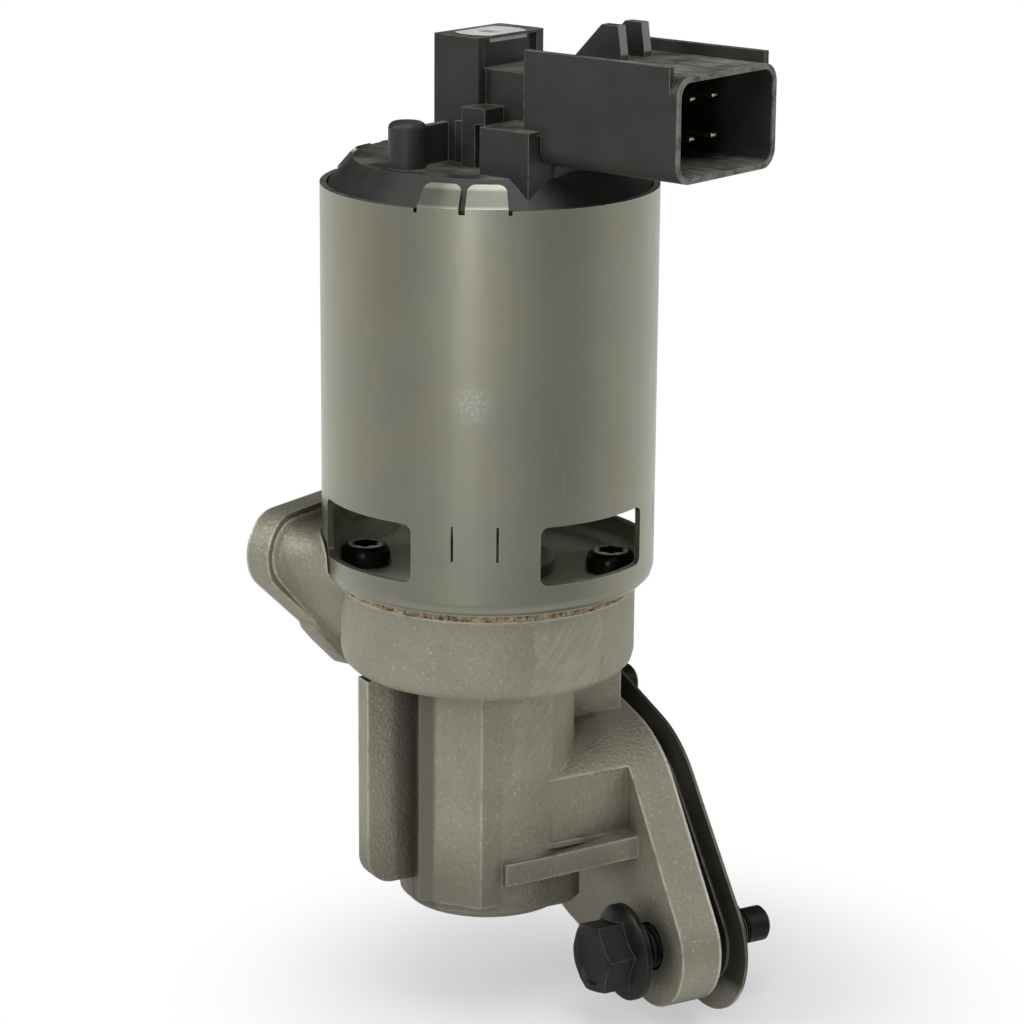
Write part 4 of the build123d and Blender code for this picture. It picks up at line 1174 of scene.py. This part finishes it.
class EGR_OT_stage(bpy.types.Operator):
    """Make the camera, the light, the floor and the world"""

    bl_idname = "egr.stage"
    bl_label = "Studio"

    def execute(self, context):
        studio = context.scene.egr_studio
        pitch = math.radians(15.5)
        roll = math.radians(0.442)
        turn = math.radians(60.6)
        forward = Vector(
            (math.cos(pitch) * math.cos(turn), math.cos(pitch) * math.sin(turn), -math.sin(pitch))
        )
        level_right = Vector((math.sin(turn), -math.cos(turn), 0))
        level_up = level_right.cross(forward)
        right = level_right * math.cos(roll) + level_up * math.sin(roll)
        up = level_up * math.cos(roll) - level_right * math.sin(roll)
        target = Vector((-25.75 * MM, -2.11 * MM, 62.86 * MM))
        place = target - forward * studio.distance

        camera_data = bpy.data.cameras.new("photo camera")
        camera_data.lens = studio.lens
        camera_data.sensor_width = 36.0
        camera_data.clip_start = 0.01
        camera = bpy.data.objects.new("photo camera", camera_data)
        basis = Matrix((right, up, -forward)).transposed().to_4x4()
        camera.matrix_world = Matrix.Translation(place) @ basis
        context.scene.collection.objects.link(camera)
        context.scene.camera = camera

        to_camera = Vector((-forward.x, -forward.y, 0)).normalized()
        aim = Vector((AXIS_X, 0, 70 * MM))

        for name, swing, rise, distance, width, height, share in SOFT_BOXES:
            data = bpy.data.lights.new(name, "AREA")
            data.shape = "RECTANGLE"
            data.size = width
            data.size_y = height
            data.energy = studio.key_power * share
            lamp = bpy.data.objects.new(name, data)
            aside = Matrix.Rotation(math.radians(swing), 3, "Z") @ to_camera
            offset = aside * math.cos(math.radians(rise)) + Vector((0, 0, math.sin(math.radians(rise))))
            turned = offset.to_track_quat("Z", "Y").to_matrix().to_4x4()
            lamp.matrix_world = Matrix.Translation(aim + offset * distance) @ turned
            context.scene.collection.objects.link(lamp)

        floor_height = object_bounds()[0][2] - 0.3 * MM
        bm = bmesh.new()
        bmesh.ops.create_circle(bm, cap_ends=True, segments=96, radius=4.0)
        bmesh.ops.translate(bm, verts=bm.verts, vec=(AXIS_X, 0, floor_height))
        mesh = bpy.data.meshes.new("studio floor")
        bm.to_mesh(mesh)
        bm.free()
        floor = bpy.data.objects.new("studio floor", mesh)
        context.scene.collection.objects.link(floor)
        floor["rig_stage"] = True
        mesh.materials.append(self.floor_paint(to_camera))
        self.world_light(context, to_camera)
        context.scene.view_settings.view_transform = "Standard"
        return {"FINISHED"}

    def floor_paint(self, to_camera):
        """Pale floor that keeps the shadow and is plain white away from the object."""
        material = bpy.data.materials.new("studio floor")
        material.use_nodes = True
        tree = material.node_tree
        shader = tree.nodes["Principled BSDF"]
        shader.inputs["Base Color"].default_value = (0.93, 0.93, 0.93, 1)
        shader.inputs["Roughness"].default_value = 0.9
        shader.inputs["Specular IOR Level"].default_value = 0.1
        way = object_point(tree, shift=(-AXIS_X, 0, 0))
        reach = add_node(tree, "ShaderNodeVectorMath", {0: way}, operation="LENGTH").outputs["Value"]
        shadow_way = object_point(tree, shift=(10 * MM, 12 * MM, -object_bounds()[0][2]))
        shadow_reach = add_node(tree, "ShaderNodeVectorMath", {0: shadow_way}, operation="LENGTH")
        near = remap(tree, shadow_reach.outputs["Value"], 0.025, 0.085, 0.5, 1.0)
        far = remap(tree, reach, 0.06, 0.20)
        base, band = room_tone(tree, way, to_camera)
        card = times(tree, band, remap(tree, reach, 0.37, 0.47))
        room = maths(tree, "ADD", base, card)
        path, clear = direct_view(tree)
        glossy = path["Is Glossy Ray"]
        factor = maths(tree, "ADD", times(tree, near, clear), times(tree, far, glossy))
        strength = maths(tree, "ADD", clear, times(tree, glossy, room))
        glow = add_node(tree, "ShaderNodeEmission", {"Color": (1, 1, 1, 1), "Strength": strength})
        mixed = add_node(tree, "ShaderNodeMixShader", {0: factor, 1: shader.outputs[0], 2: glow.outputs[0]})
        tree.links.new(mixed.outputs[0], tree.nodes["Material Output"].inputs["Surface"])
        return material

    def world_light(self, context, to_camera):
        """White surroundings, with the studio's darker room in the reflections."""
        world = bpy.data.worlds.new("studio")
        world.use_nodes = True
        context.scene.world = world
        tree = world.node_tree
        background = tree.nodes["Background"]
        background.inputs["Color"].default_value = (1, 1, 1, 1)
        way = add_node(tree, "ShaderNodeTexCoord").outputs["Generated"]
        base, band = room_tone(tree, way, to_camera)
        path, clear = direct_view(tree)
        room = times(tree, maths(tree, "ADD", base, band), path["Is Glossy Ray"])
        soft = times(tree, base, 0.55, path["Is Diffuse Ray"])
        dim = times(tree, maths(tree, "ADD", room, soft), WORLD_LEVEL)
        strength = maths(tree, "ADD", clear, dim)
        tree.links.new(strength, background.inputs["Strength"])


class EGR_PT_panel(bpy.types.Panel):
    """Lists the steps that build the valve's looks"""

    bl_idname = "EGR_PT_panel"
    bl_label = "EGR valve"
    bl_space_type = "VIEW_3D"
    bl_region_type = "UI"
    bl_category = "EGR valve"

    def draw(self, context):
        layout = self.layout
        for settings in (context.scene.egr_colours, context.scene.egr_sizes, context.scene.egr_studio):
            box = layout.box()
            for key in settings.__annotations__:
                box.prop(settings, key)
        for step in BUILD_STEPS:
            layout.operator(step.bl_idname)


BUILD_STEPS = (
    EGR_OT_stage,
    EGR_OT_cast_body,
    EGR_OT_outlet_neck,
    EGR_OT_can,
    EGR_OT_cap,
    EGR_OT_terminals,
    EGR_OT_base_gasket,
    EGR_OT_base_screws,
    EGR_OT_mounting_bolts,
    EGR_OT_mounting_gasket,
    EGR_OT_inner_pieces,
)
CLASSES = (ValveColours, ValveSizes, ValveStudio) + BUILD_STEPS + (EGR_PT_panel,)


def register():
    """Registers the classes and their settings."""
    for cls in CLASSES:
        bpy.utils.register_class(cls)
    bpy.types.Scene.egr_colours = PointerProperty(type=ValveColours)
    bpy.types.Scene.egr_sizes = PointerProperty(type=ValveSizes)
    bpy.types.Scene.egr_studio = PointerProperty(type=ValveStudio)


def unregister():
    """Removes the settings and the classes."""
    del bpy.types.Scene.egr_colours
    del bpy.types.Scene.egr_sizes
    del bpy.types.Scene.egr_studio
    for cls in reversed(CLASSES):
        bpy.utils.unregister_class(cls)


def main():
    """Builds everything."""
    register()
    for step in BUILD_STEPS:
        area, action = step.bl_idname.split(".")
        getattr(getattr(bpy.ops, area), action)()
    bpy.context.view_layer.update()


if __name__ == "__main__":
    main()
